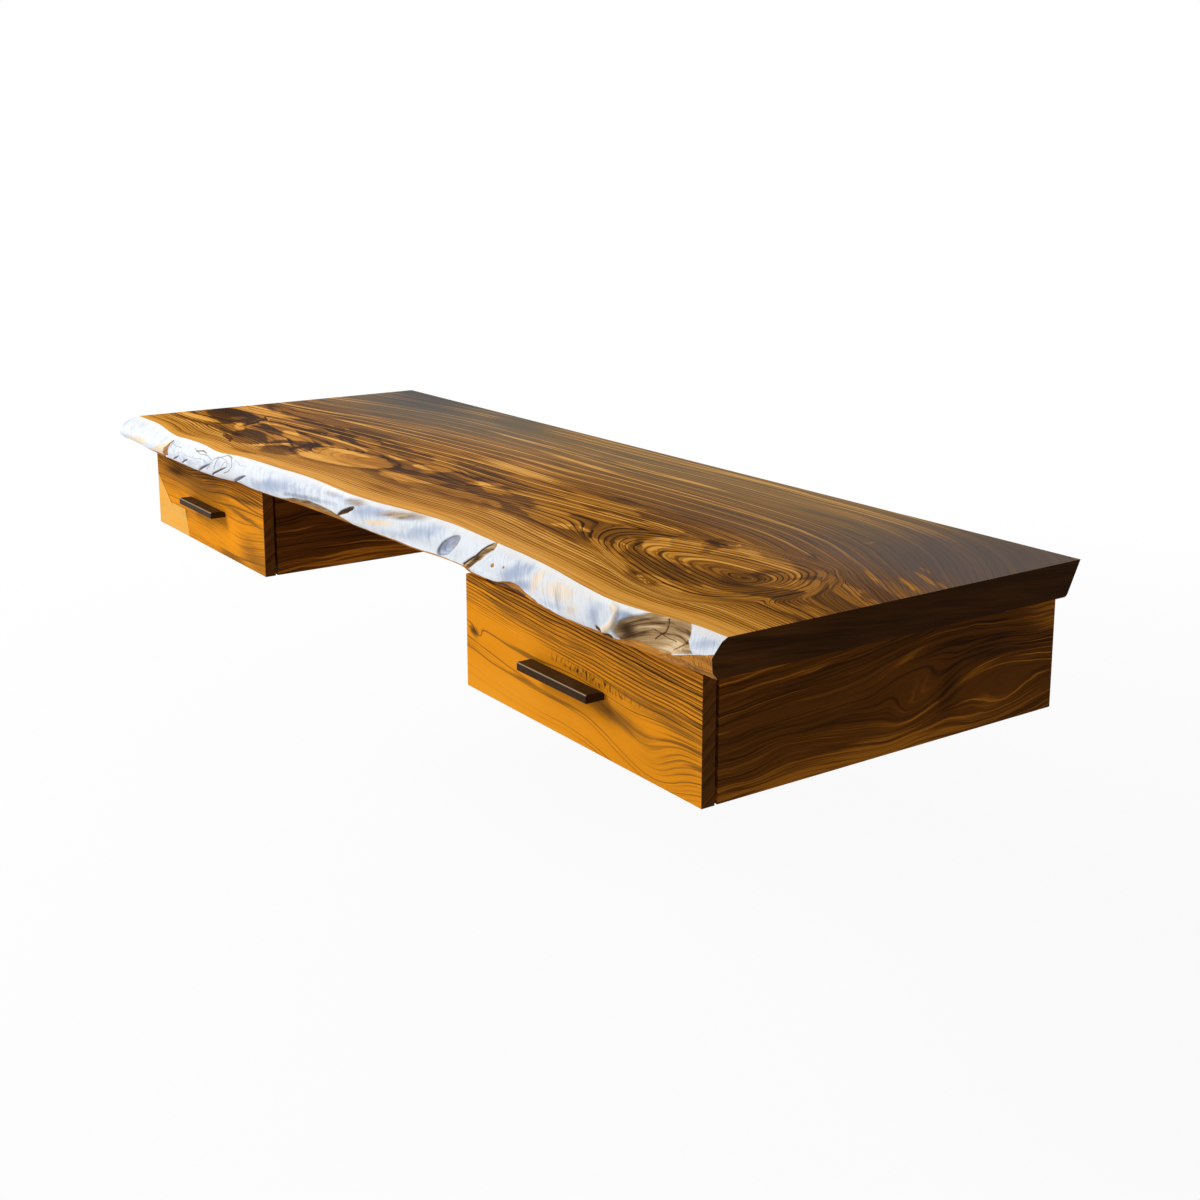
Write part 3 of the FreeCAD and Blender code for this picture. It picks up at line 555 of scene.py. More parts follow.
    # painted sheen: the wall side's left end is mixed towards grey-blue, standing in for a reflection
    painted_sheen = g.spot(g.place, *PAINTED_SHEEN) * (0.9 + band * 0.2)
    base = g.mix(g.math("MINIMUM", painted_sheen, 0.8), base, settings.painted_sheen)
    plum = (g.spot(g.place, *PLUM_CORNER) * 1.2
            + g.spot(g.place, *PLUM_STREAK) * 0.3) * (0.8 + broad * 0.4 + band * 0.4)
    plum *= g.steps(flecks, 0.04, 0.26, 1.0, 0.3)
    base = g.mix(g.math("MINIMUM", plum, 0.84), base, settings.plum)
    pores = g.steps(streaks(g, growth, g.x, 1300.0, 50.0, 1.0, 20.0), 0.4, 0.6)
    base = g.mix(pores * 0.45, base, settings.dark)
    relief = g.bump(hair * 0.4 - pores, 0.00025, 0.35)
    return g.oiled(base, 0.46 + hair * 0.05, relief, coat=0.03, coat_rough=0.3)


LARGE_HOLLOW = 0.787  # where the middle of the edge's large hollow is along the slab
ARRIS_HIGHLIGHT_DEPTHS = (0.008, 0.002)  # the painted highlight along the upper arris fades in between these depths


def live_edge_wood(settings):
    """The slab's natural edge: silvery sapwood with cream patches and painted bluish shade, a painted
    highlight along the top arris, bare brown hollows, dark cracks and lines with painted shade in
    recesses, and a thin line of heartwood along the bottom."""
    g = Graph("live_edge_sapwood")
    bare, dark_lines_and_shade, cream, painted_blue_shade, heart = (g.attribute(name) for name in TONES)
    cloud = g.noise(g.place, 14.0, 3.0, 0.6, 0.6)
    fleck = g.noise(g.place, 60.0, 3.0, 0.6)
    height = g.z - (SLAB_LOW.z + SLAB_HIGH.z) / 2
    right = g.steps(g.x, 0.38, 0.5)
    lean = g.x + height * 0.5 + height * height * 6.0 + cloud * 0.003
    brush = g.noise(g.vector(lean * 210.0, g.z * 16.0, g.y * 30.0), swirl=0.3)
    hairs = g.noise(g.vector(lean * 560.0, g.z * 24.0, g.y * 40.0))
    warm = g.steps(cream + cloud * 0.5 + fleck * 0.25, 0.25, 0.95)
    base = g.mix(warm, settings.silver, settings.cream)
    # painted shade: bluish grey mixed over the sapwood in patches and clouds
    cool = painted_blue_shade + cloud * -0.4 + fleck * 0.3 + brush * 0.3
    base = g.mix(g.steps(cool, 0.1, 1.0) * 0.9, base, settings.painted_blue_shade)
    dapple = g.steps(fleck + cloud * 0.6, -0.05, 0.65) * (0.34 - right * 0.2)
    base = g.mix(dapple, base, settings.stroke)
    depth = 0.16 + right * 0.38 + g.steps(cloud, -0.2, 0.5) * 0.18
    base = g.mix(g.steps(brush * 0.6 + hairs, 0.05, 0.55) * depth, base, settings.stroke)
    # painted highlight: the sapwood next to the top arris is mixed towards pale white
    rim = g.steps(g.z, *(SLAB_HIGH.z - depth for depth in ARRIS_HIGHLIGHT_DEPTHS))
    base = g.mix(rim * 0.7, base, settings.rim)
    # bare wood in the hollows: grain along the slab, sagging in the large hollow
    sag = g.math("POWER", (g.x - LARGE_HOLLOW) * 16.0, 2.0, clamp=True) * 0.01
    rise = g.z + g.x * -0.22 + sag + cloud * 0.0015
    grain = g.noise(g.vector(rise * 620.0, g.x * 26.0, g.y * 200.0), detail=3.0)
    veins = g.noise(g.vector(rise * 210.0, g.x * 10.0, g.y * 60.0), detail=1.0)
    wood = g.ramp(0.42 + veins * 0.75 + grain * 0.5 + cream * 0.5 - painted_blue_shade * 0.1,
                  ((0.1, settings.bare_dark), (0.45, settings.bare), (0.95, settings.bare_light)))
    base = g.mix(g.steps(bare + grain * 0.12, 0.25, 0.75), base, wood)
    # heartwood: fine lines along the slab, pits and short cracks on the block at the right end
    lines = g.noise(g.vector(g.z * 480.0, g.x * 9.0, g.y * 300.0))
    pits = g.noise(g.vector(g.x * 330.0 + g.z * 120.0, g.z * 120.0, g.y * 200.0), detail=1.0)
    amber = g.ramp(0.72 + lines * 0.7,
                   ((0.05, settings.brown), (0.5, settings.golden), (0.95, settings.amber)))
    amber = g.mix(g.steps(pits, 0.1, 0.36) * g.steps(g.x, 0.79, 0.85) * 0.85, amber, settings.brown)
    base = g.mix(g.steps(heart, 0.35, 0.65), base, amber)
    # dark cracks and lines, and painted shade in slots, hollows and the gap under the slab
    base = g.mix(g.steps(dark_lines_and_shade + fleck * 0.12, 0.1, 0.95), base, settings.dark)
    relief = g.bump(brush * 0.5 + hairs * 0.4 + grain * bare * 0.8, 0.0008, 0.6)
    rough = 0.36 + brush * 0.06 + bare * 0.18 + heart * 0.1
    return g.finish(Base_Color=base, Roughness=rough, Normal=relief, Specular_IOR_Level=0.1,
                    Coat_Weight=0.04, Coat_Roughness=0.25)


def end_grain_wood(settings):
    """The sawn ends of the slab: flat rings, crossed by short rays."""
    g = Graph("slab_end_grain")
    warp = g.noise(g.vector(g.x * 3.0, g.y * 5.0, g.z * 9.0))
    rings = g.z + g.y * 0.1 + warp * 0.01
    broad = g.noise(g.vector(rings * 70.0, g.y * 5.0))
    fine = g.noise(g.vector(rings * 420.0, g.y * 14.0))
    rays = g.noise(g.vector(g.y * 500.0, g.z * 70.0), detail=1.0)
    front = g.steps(g.y + warp * 0.06, -0.4, -0.6)
    tone = 0.4 + front * 0.16 + broad * (0.32 + front * 0.3) + fine * (0.16 + front * 0.16)
    tone += g.steps(rays, 0.3, 0.7) * 0.1
    base = g.ramp(tone, ((0.05, settings.end_dark), (0.95, settings.end_light)))
    relief = g.bump(fine + rays * 0.5, 0.0002, 0.4)
    return g.oiled(base, 0.5 + broad * 0.06, relief)


# The same for the drawer fronts, right front first.
FRONT_FLOW = (
    (380, 4, 14, 8, -20, 12, 0), (480, -30, 120, 40, 0, 12, 0), (760, -62, 90, 46, -16, 34, 0),
    (620, 15, 90, 12, -6, 0, 0.5), (-700, 50, 140, 26, -6, 14, 0), (-560, 22, 120, 24, 6, 0, 0.6),
    (-450, -30, 110, 40, 0, 22, 0), (-728, -34, 18, 12, 0, 12, 0),
)
# The row at 690, -22 is painted shadow: a dark smear where the right handle's shadow falls.
FRONT_PATCHES = (
    (370, 4, 10, 6, -20, -0.5, 0), (400, -62, 150, 40, 0, 0.16, 0), (560, -62, 120, 30, -4, 0.1, 0),
    (520, 26, 110, 8, -6, 0.12, 0), (690, -22, 65, 10, -6, -0.22, 0), (800, 6, 70, 18, -6, -0.14, 0),
    (620, 14, 60, 6, -5, -0.12, 0), (700, 62, 200, 14, -5, -0.16, 0),
    (450, 70, 120, 12, -3, -0.14, 0), (-760, 40, 60, 10, 4, -0.26, 0),
    (-700, 50, 140, 30, -6, -0.17, 0), (-600, 66, 160, 8, 2, -0.16, 0),
    (-490, -36, 60, 20, -10, 0.16, 0), (-420, -50, 60, 16, -12, -0.1, 0),
    (-430, 40, 80, 4, 3, -0.26, 0), (-430, 10, 70, 3, -4, -0.24, 0),
    (-728, -34, 18, 14, 0, -0.16, 0),
)
# Middle and half size, in metres, of the busier lines at the right front's right end and of its
# row of specks.
FRONT_ARCS = ((0.835, -0.034), (0.045, 0.05))
SPECK_ROW = ((0.645, 0.053), (0.07, 0.005))


def front_wood(settings):
    """The drawer fronts: dark wavy lines along the top, plainer orange wood below, and dark ends."""
    g = Graph("drawer_front_wood")
    warp = g.noise(g.vector(g.x * 4.0, g.y * 9.0, g.z * 12.0))
    wander = g.noise(g.vector(g.x * 13.0, g.y * 20.0, g.z * 40.0))
    lift = flow(g, g.x + warp * 0.01, g.z + warp * 0.005, FRONT_FLOW)
    tint = patches(g, g.x + warp * 0.02 + wander * 0.012, g.z + warp * 0.005 + wander * 0.004,
                   FRONT_PATCHES)
    slope = g.math("MAXIMUM", g.x - FRONT_NEAR, 0.0) * 0.06
    growth = g.z + slope + g.y * 0.8 + warp * 0.008 + wander * 0.0016 + lift
    broad = streaks(g, growth, g.x, 40.0, 2.0, 1.0, 1.0)
    band = streaks(g, growth, g.x, 130.0, 3.0, 1.0, 4.0)
    thread = streaks(g, growth, g.x, 380.0, 6.0, 1.0, 12.0)
    hair = streaks(g, growth, g.x, 1100.0, 16.0, 2.0, 8.0)
    cloud = g.noise(g.vector(g.x * 7.0, g.y * 9.0, g.z * 24.0), detail=3.0)
    high = g.steps(g.z + slope + band * 0.008, 0.024, 0.058)
    arcs = g.spot(g.vector(g.x, g.z), *FRONT_ARCS) * 0.4
    lively = g.math("MAXIMUM", high, arcs)
    # painted shade: the left front is a little darker, standing in for weaker light on it
    left = g.steps(g.x, 0.1, -0.1)
    tone = 0.6 + broad * 0.12 + cloud * 0.09 + hair * 0.1 + tint - high * 0.1 - left * 0.07
    tone = tone + band * (lively * 0.1 + 0.04) + thread * (lively * 0.12 + 0.06)
    rings = regular_rings(g, growth, 0.005, band * 3.4)
    weight = g.steps(broad + thread * 0.7, -0.35, 0.35, 0.1, 0.42)
    tone -= g.steps(rings, 0.2, 0.9) * (lively * weight + 0.03)
    tone += ridge(g, thread, 0.16) * high * 0.16
    tone -= ridge(g, streaks(g, growth, g.x, 60.0, 1.0, 0.0, 15.0), 0.07) * 0.22
    specks = g.noise(g.vector(g.x * 260.0, 0.0, g.z * 90.0), detail=1.0)
    row = g.spot(g.vector(g.x, g.z + g.x * 0.06), *SPECK_ROW)
    tone -= g.steps(specks, 0.06, 0.28) * row * 0.6
    base = g.ramp(tone, ((0.05, settings.front_dark), (0.36, settings.front_brown),
                         (0.62, settings.front_main), (0.95, settings.front_light)))
    # the left front's pale lower corner: a wedge at its very end and a band along its bottom
    slant = (g.x + 0.864) * 0.76 + (g.z - 0.022)
    edge = g.x + 0.716 + (g.z + 0.05) * 0.35
    corner = g.steps(slant + wander * 0.002, 0.0015, -0.0015) * g.steps(g.x, -0.79, -0.8)
    low = g.steps(g.math("MAXIMUM", edge, g.z + 0.028 + warp * 0.002), 0.0012, -0.0012)
    pale = g.mix(g.steps(thread + hair * 0.8, -0.3, 0.6), settings.front_sap, settings.front_light)
    base = g.mix(g.math("MAXIMUM", corner, low) * 0.85, base, pale)
    rim = ridge(g, slant + wander * 0.002, 0.0022) * g.steps(g.x, -0.785, -0.8)
    base = g.mix(rim * 0.8, base, settings.front_dark)
    pores = g.steps(streaks(g, growth, g.x, 1700.0, 70.0, 1.0, 30.0), 0.4, 0.6)
    base = g.mix(pores * 0.4, base, settings.front_brown)
    # dark end grain on the fronts' sawn ends
    half = (FRONT_FAR - FRONT_NEAR) / 2
    across = g.math("ABSOLUTE", g.math("ABSOLUTE", g.x) - (FRONT_NEAR + FRONT_FAR) / 2)
    sawn = g.steps(across, half - 4 * CLOSE, half - CLOSE)
    slashes = g.noise(g.vector((g.z - g.y * 0.8) * 260.0, 0.0, g.y * 20.0))
    ends = g.ramp(0.5 + slashes * 0.5, ((0.2, settings.end_dark), (0.8, settings.end_light)))
    base = g.mix(sawn, base, ends)
    relief = g.bump(hair * 0.4 + thread * 0.2 - pores, 0.0002, 0.35)
    return g.oiled(base, 0.42 + hair * 0.05, relief)


# The same for the case sides, along y and z.
CASE_FLOW = (
    (-255, -6, 100, 50, 15, 0, 0.8), (-235, -14, 66, 24, 30, 12, 0), (-95, -36, 110, 52, 5, 0, 0.85),
    (-85, -44, 80, 28, 8, 10, 0), (-180, 70, 160, 40, -4, -14, 0),
)
CASE_PATCHES = (
    (-100, -36, 60, 30, 5, 0.12, 0), (-255, -12, 50, 26, 28, 0.14, 0),
    (-265, 40, 46, 6, 22, 0.28, 0), (-130, 34, 150, 24, -6, -0.26, 0), (-60, 28, 80, 3, -3, 0.3, 0),
    (-200, -22, 20, 40, -24, -0.26, 0), (-420, 12, 140, 6, 4, 0.12, 0),
    (-450, 36, 90, 8, 8, -0.2, 0), (-380, -70, 190, 14, 0, 0.34, 0),
    (-300, -66, 300, 26, 0, 0.12, 0), (-200, -60, 120, 12, 4, 0.1, 0),
)


def case_wood(settings):
    """The case sides: dark wavy streaks that run towards the wall, round two large swirls."""
    g = Graph("case_side_wood")
    warp = g.noise(g.vector(g.x * 4.0, g.y * 5.0, g.z * 10.0), swirl=0.6)
    wander = g.noise(g.vector(g.x * 9.0, g.y * 14.0, g.z * 34.0))
    lift = flow(g, g.y + warp * 0.014, g.z + warp * 0.007, CASE_FLOW)
    tint = patches(g, g.y + warp * 0.02 + wander * 0.014, g.z + warp * 0.008 + wander * 0.005,
                   CASE_PATCHES)
    growth = g.z + g.x * 0.5 - g.y * 0.04 + warp * 0.012 + wander * 0.003 + lift
    broad = streaks(g, growth, g.y, 48.0, 1.6, 1.0, 1.0)
    band = streaks(g, growth, g.y, 130.0, 2.6, 1.0, 5.0)
    thread = streaks(g, growth, g.y, 340.0, 6.0, 1.0, 4.0)
    hair = streaks(g, growth, g.y, 1000.0, 14.0, 2.0, 8.0)
    # painted shade: the left case's sides are darker, standing in for the shade under the slab
    left = g.steps(g.x, 0.0, -0.2)
    tone = 0.47 + broad * 0.24 + band * 0.22 + thread * 0.27 + hair * 0.24 + tint - left * 0.12
    tone -= ridge(g, band, 0.12) * 0.22
    tone += ridge(g, streaks(g, growth, g.y, 70.0, 1.2, 0.0, 12.0), 0.08) * 0.36
    base = g.ramp(tone, ((0.05, settings.case_dark), (0.5, settings.case_main),
                         (0.95, settings.case_light)))
    pores = g.steps(streaks(g, growth, g.y, 1700.0, 70.0, 1.0, 30.0), 0.45, 0.65)
    base = g.mix(pores * 0.4, base, settings.case_dark)
    relief = g.bump(hair * 0.4 - pores, 0.0002, 0.35)
    return g.oiled(base, 0.45 + hair * 0.05, relief)


def plain_wood(name, main, along, gap=0.012, contrast=0.35, rough=0.5):
    """Board with thin growth lines that bend a little. along is the axis that the grain runs on:
    0, 1 or 2."""
    g = Graph(name)
    axes = [g.x, g.y, g.z]
    run = axes.pop(along)
    warp = g.noise(g.place, 5.0, 2.0)
    growth = axes[0] * 0.7 + axes[1] + warp * 0.022
    broad = streaks(g, growth, run, 0.5 / gap, 1.5, 1.0, 1.0)
    fine = streaks(g, growth, run, 6.0 / gap, 10.0, 2.0, 8.0)
    lines = ridge(g, streaks(g, growth, run, 1.1 / gap, 1.0, 0.0, 15.0), 0.16)
    pores = g.steps(streaks(g, growth, run, 1600.0, 60.0, 1.0, 30.0), 0.45, 0.65)
    dark = [c * (1.0 - contrast) ** (1.0 + 0.4 * i) for i, c in enumerate(main)]
    light = [min(1.0, c * (1.0 + contrast * 0.5)) for c in main]
    tone = 0.54 + broad * 0.5 + fine * 0.24 - lines * 0.26
    base = g.ramp(tone, ((0.1, dark), (0.5, main), (0.9, light)))
    base = g.mix(pores * 0.3, base, dark)
    relief = g.bump(fine * 0.5 - pores, 0.0002, 0.3)
    return g.oiled(base, rough + fine * 0.05, relief, coat=0.15, coat_rough=0.3)


def plywood(settings):
    """Cleats: thin crossed layers on the edges, plain veneer on the faces."""
    g = Graph("cleat_plywood")
    layers = regular_rings(g, g.y, 0.0036, g.noise(g.place, 40.0, 1.0) * 0.5)
    grain = streaks(g, g.z + g.y * 0.3, g.x, 300.0, 6.0, 2.0, 2.0)
    base = g.mix(g.steps(layers, 0.2, 0.8) * 0.7, settings.ply_main, settings.ply_dark)
    base = g.mix(g.steps(grain, 0.1, 0.9) * 0.4, base, settings.ply_dark)
    relief = g.bump(grain + layers * 0.5, 0.0002, 0.4)
    return g.oiled(base, 0.66 + grain * 0.05, relief)


# ---- metal and rubber ---------------------------------------------------------------------
def bronze(settings):
    """Handles: dark satin bronze, brushed along its length and rubbed in places, with a painted
    highlight along its upper arris.
    """
    g = Graph("handle_bronze")
    brushed = g.noise(g.vector(g.x * 25.0, g.y * 900.0, g.z * 900.0))
    rubbed = g.noise(g.place, 26.0, 3.0, 0.6)
    # painted highlight: a bright line along the handle's upper front arris
    arris = g.math("MAXIMUM", g.y - HANDLE_LOW.y, HANDLE_HIGH.z - g.z)
    arris_highlight = g.steps(arris + rubbed * 0.0004, 0.0016, 0.0006)
    base = g.mix(g.steps(rubbed + brushed * 0.5, -0.1, 0.9), settings.bronze, settings.bronze_worn)
    base = g.mix(arris_highlight * 0.85, base, settings.bronze_highlight)
    relief = g.bump(brushed, 0.00008, 0.4)
    rough = settings.bronze_roughness + brushed * 0.07 + rubbed * 0.04
    return g.finish(Base_Color=base, Roughness=rough, Normal=relief, Specular_IOR_Level=0.03)


def plated(name, tint, rough, cloud_scale=60.0):
    """Plated steel with a faint cloudiness."""
    g = Graph(name)
    cloud = g.noise(g.place, cloud_scale, 3.0, 0.6)
    rolled = g.noise(g.vector(g.x * 900.0, g.y * 30.0, g.z * 900.0))
    darker = [c * 0.82 for c in tint]
    base = g.mix(g.steps(cloud, -0.5, 0.8), tint, darker)
    relief = g.bump(rolled, 0.00005, 0.3)
    rough = rough + cloud * 0.05 + rolled * 0.03
    return g.finish(Base_Color=base, Roughness=rough, Normal=relief, Metallic=1.0)


def rubber(settings):
    """Bumpers: matt, finely pitted."""
    g = Graph("bumper_rubber")
    pits = g.noise(g.place, 900.0, 2.0)
    base = g.mix(g.steps(pits, -0.2, 0.8), settings.rubber, [c * 2.0 for c in settings.rubber])
    relief = g.bump(pits, 0.0001, 0.5)
    return g.finish(Base_Color=base, Roughness=0.8 + pits * 0.05, Normal=relief)


# ---- slab shape ---------------------------------------------------------------------------
def smooth(low, high, value):
    """Zero below low, one above high, smooth between."""
    t = min(1.0, max(0.0, (value - low) / (high - low)))
    return t * t * (3 - 2 * t)


def through(points, value):
    """A smooth curve through points of place and height, read at value."""
    last = len(points) - 2
    i = next((k for k in range(last + 1) if value < points[k + 1][0]), last)
    (x0, y0), (x1, y1) = points[i], points[i + 1]
    before, after = points[max(i - 1, 0)], points[min(i + 2, last + 1)]
    slope0 = (y1 - before[1]) / (x1 - before[0])
    slope1 = (after[1] - y0) / (after[0] - x0)
    t, gap = (value - x0) / (x1 - x0), x1 - x0
    return ((2 * t ** 3 - 3 * t ** 2 + 1) * y0 + (t ** 3 - 2 * t ** 2 + t) * gap * slope0
            + (3 * t ** 2 - 2 * t ** 3) * y1 + (t ** 3 - t ** 2) * gap * slope1)


# The features of the live edge lie on a flat map of it: place along the slab and depth below its
# top, in millimetres. Tones are bare wood, dark (dark cracks and lines, and painted shade in slots,
# hollows and the gap under the slab), cream, painted bluish shade and heartwood.
# Oval dents: middle, half length, half width, turn, depth, steepness of the rim, tones.
DENTS = (
    (-612, 35, 19, 1.5, 20, 1.6, 0.7, {"dark_lines_and_shade": 0.75}),
    (-572, 35, 22, 1.7, 18, 2.0, 0.7, {"dark_lines_and_shade": 0.75}),
    (-486, 33, 38, 2.4, 19, 3.2, 0.6, {"dark_lines_and_shade": 0.62, "painted_blue_shade": 0.8}),
    (-430, 32, 34, 1.8, 22, 2.4, 0.6, {"dark_lines_and_shade": 0.72, "bare": 0.5}),
    (-368, 36, 34, 2.6, 19, 3.6, 0.6, {"dark_lines_and_shade": 0.55, "painted_blue_shade": 0.8}),
    (2, 26, 31, 3.8, 22, 5.0, 0.6, {"dark_lines_and_shade": 0.75, "bare": 1.0}),
    (281, 26, 30, 10, 29, 6.5, 0.6, {"painted_blue_shade": 0.8}),
    (291, 22, 17, 7, 29, 0.6, 0.6, {"bare": 0.46, "dark_lines_and_shade": 0.2}),
    (787, 23, 66, 24, 11, 12.0, 0.5, {"bare": 1.0}),
    (416, 24, 5, 3, 20, 0.8, 0.6, {"heart": 0.9, "bare": 0.6}),
    (447, 20, 3, 2, 20, 0.5, 0.6, {"heart": 0.6, "bare": 0.6}),
)
# Flat facets: three corners, each with its depth into the edge, then tones.
FACETS = (
    ((-629, 5, 0), (-742, 39, 0), (-698, 47, 3.0), {"cream": 1.0, "heart": 0.35}),
    ((-629, 5, 0), (-698, 47, 3.0), (-648, 38, 6.0), {"bare": 1.0, "heart": 0.52}),
    ((-22, 38, 0), (31, 15, 3.5), (15, 37, 0), {}),
    ((332, 46, 5.5), (401, 1, 3.5), (452, 35, 0), {}),
    ((850, 11, 3.0), (866, 24, 0.5), (824, 35, 1.5), {"bare": 0.85, "painted_blue_shade": 0.5, "dark_lines_and_shade": 0.12}),
)
# Grooves, and ridges where the depth is negative: points, half width, depth, tones.
GROOVES = (
    (((329, 44), (373, 22), (396, 3)), 6.0, 1.8, {"bare": 1.0, "cream": 0.35}),
    (((326, 42), (368, 21), (391, 2)), 1.8, 1.0, {"dark_lines_and_shade": 0.9}),
    (((337, 44), (381, 22), (405, 3)), 1.2, 0.4, {"dark_lines_and_shade": 0.5}),
    (((387, 27), (404, 12), (407, 3)), 1.3, 0.6, {"dark_lines_and_shade": 0.4}),
    (((714, 2), (728, 9), (722, 25), (702, 40)), 7.5, -2.6, {"cream": 0.85}),
    (((690, 37), (703, 42), (716, 43)), 4.0, 1.5, {"dark_lines_and_shade": 0.8, "heart": 0.7}),
    (((730, 4), (733, 14), (724, 30)), 1.2, 0.5, {"dark_lines_and_shade": 0.35}),
    (((806, 1), (802, 13), (795, 20), (785, 31)), 1.4, 1.0, {"dark_lines_and_shade": 0.9}),
    (((779, 16), (801, 19), (826, 20)), 1.2, 0.8, {"dark_lines_and_shade": 0.8}),
    (((-436, 29), (-430, 8), (-412, 2), (-397, 4), (-386, 17), (-396, 27), (-408, 31)), 1.6, 0.8,
     {"dark_lines_and_shade": 0.62}),
    (((-444, 24), (-440, 10), (-424, 6), (-404, 10), (-400, 20)), 1.3, 0.5, {"dark_lines_and_shade": 0.5}),
    (((-418, 26), (-408, 12), (-398, 14)), 1.4, 0.5, {"dark_lines_and_shade": 0.5}),
    (((-470, 34), (-452, 24), (-442, 12), (-430, 8)), 1.3, 0.5, {"dark_lines_and_shade": 0.5}),
    (((-540, 7), (-505, 12), (-470, 9), (-448, 14)), 1.5, 0.6, {"dark_lines_and_shade": 0.55}),
    (((-525, 10), (-500, 6), (-480, 7)), 1.5, 0.4, {"bare": 0.9, "dark_lines_and_shade": 0.3}),
    (((-520, 22), (-486, 18), (-462, 22)), 1.3, 0.4, {"dark_lines_and_shade": 0.45}),
    (((-560, 24), (-530, 21), (-505, 27)), 1.3, 0.4, {"dark_lines_and_shade": 0.45}),
    (((-600, 24), (-575, 20), (-556, 24)), 1.2, 0.4, {"dark_lines_and_shade": 0.4}),
    (((-640, 6), (-612, 14), (-590, 13)), 1.3, 0.4, {"dark_lines_and_shade": 0.5}),
    (((-628, 6), (-700, 45)), 1.3, 0.8, {"dark_lines_and_shade": 0.7}),
    (((-626, 7), (-645, 36)), 1.2, 0.6, {"dark_lines_and_shade": 0.6}),
    (((-384, 6), (-360, 12), (-340, 11)), 1.2, 0.4, {"dark_lines_and_shade": 0.4}),
    (((-300, 10), (-284, 15), (-262, 14)), 1.2, 0.3, {"dark_lines_and_shade": 0.35}),
    (((-860, 12), (-840, 20), (-836, 32)), 1.2, 0.4, {"dark_lines_and_shade": 0.35, "bare": 0.5}),
    (((-880, 22), (-864, 30), (-850, 30)), 1.2, 0.4, {"dark_lines_and_shade": 0.35, "bare": 0.5}),
    (((858, 38), (872, 46)), 1.5, 1.2, {"dark_lines_and_shade": 0.9}),
    # painted shadow: this dark strip stands for the gap between the slab and the right drawer front
    (((404, 46), (440, 44.5), (480, 45), (516, 47)), 1.7, 1.0, {"dark_lines_and_shade": 1.0}),
    (((880, 30), (884, 43)), 1.0, 0.8, {"dark_lines_and_shade": 0.7}),
)
# Oval outlines: middle, half length, half width, turn, half thickness, depth, tones.
RINGS = (
    (281, 26, 30, 10, 29, 1.3, 0.6, {"dark_lines_and_shade": 0.55}),
    (285, 24, 24, 7, 29, 0.9, 0.4, {"dark_lines_and_shade": 0.42}),
    (289, 22, 17, 4.5, 29, 0.8, 0.4, {"dark_lines_and_shade": 0.38}),
    (787, 23, 66, 24, 11, 1.2, 0.4, {"dark_lines_and_shade": 0.3}),
    (775, 24, 46, 17, 11, 0.8, 0.2, {"dark_lines_and_shade": 0.3}),
    (768, 25, 34, 12, 11, 0.8, 0.2, {"dark_lines_and_shade": 0.3}),
)
# Soft patches of colour, many of them painted shade: middle, half length, half width, turn, tones.
BLUSHES = (
    (-820, 33, 90, 9, 8, {"cream": 1.0, "bare": 0.25}),
    (-770, 28, 50, 9, 14, {"cream": 0.7}),
    (-640, 20, 40, 12, 30, {"painted_blue_shade": 0.55}),
    (-570, 32, 90, 7, 0, {"painted_blue_shade": 0.55}),
    (-480, 24, 70, 8, 10, {"painted_blue_shade": 0.45}),
    (-250, 28, 90, 13, 8, {"painted_blue_shade": 0.95}),
    (-150, 20, 90, 10, 8, {"painted_blue_shade": 0.6}),
    (-130, 28, 110, 6, 4, {"painted_blue_shade": 0.9, "dark_lines_and_shade": 0.4}),
    (-50, 8, 60, 7, 4, {"bare": 0.42, "painted_blue_shade": 0.6}),
    (30, 8, 50, 8, 4, {"bare": 0.58, "painted_blue_shade": 0.8, "dark_lines_and_shade": 0.22}),
    (80, 13, 80, 11, 8, {"painted_blue_shade": 0.85}),
    (150, 7, 80, 8, 6, {"bare": 0.66, "painted_blue_shade": 0.4, "dark_lines_and_shade": 0.2}),
    (100, 26, 60, 5, 8, {"cream": 1.0, "bare": 0.3}),
    (160, 34, 80, 7, 4, {"painted_blue_shade": 0.55}),
    (215, 20, 50, 12, 15, {"painted_blue_shade": 0.75}),
    (270, 30, 14, 8, 29, {"painted_blue_shade": 1.0}),
    (440, 12, 30, 7, 30, {"cream": 0.3}),
    (478, 20, 46, 13, 22, {"painted_blue_shade": 1.0}),
    (496, 32, 36, 9, 10, {"painted_blue_shade": 1.0, "dark_lines_and_shade": 0.16}),
    (534, 18, 40, 15, 60, {"cream": 0.7}),
    (600, 16, 100, 17, 8, {"cream": 0.62}),
    (640, 26, 36, 12, 20, {"cream": 0.55}),
    (590, 36, 70, 6, 8, {"painted_blue_shade": 0.5}),
    (684, 22, 16, 18, 10, {"painted_blue_shade": 0.85}),
    (744, 8, 20, 10, 25, {"painted_blue_shade": 0.95}),
    (880, 10, 34, 7, 16, {"painted_blue_shade": 0.65}),
    (820, 34, 34, 9, 20, {"cream": 0.9}),
    (768, 6, 46, 4, 8, {"dark_lines_and_shade": 0.42}),
    (740, 31, 17, 15, 30, {"dark_lines_and_shade": 0.85}),
    (800, 14, 30, 8, 10, {"dark_lines_and_shade": 0.22}),
)
# Below this line the heartwood starts: place along the slab and depth.
HEART_LINE = (
    (-900, 41), (-820, 43), (-745, 40), (-700, 44), (-620, 45), (-240, 45), (-176, 44), (24, 44.5),
    (120, 44.2), (330, 44.6), (425, 44), (462, 35), (486, 34.5), (502, 39), (545, 43.8), (620, 44),
    (699, 41.5), (722, 43.5), (765, 43.2), (804, 41.5), (837, 33), (875, 22.6), (905, 15),
)
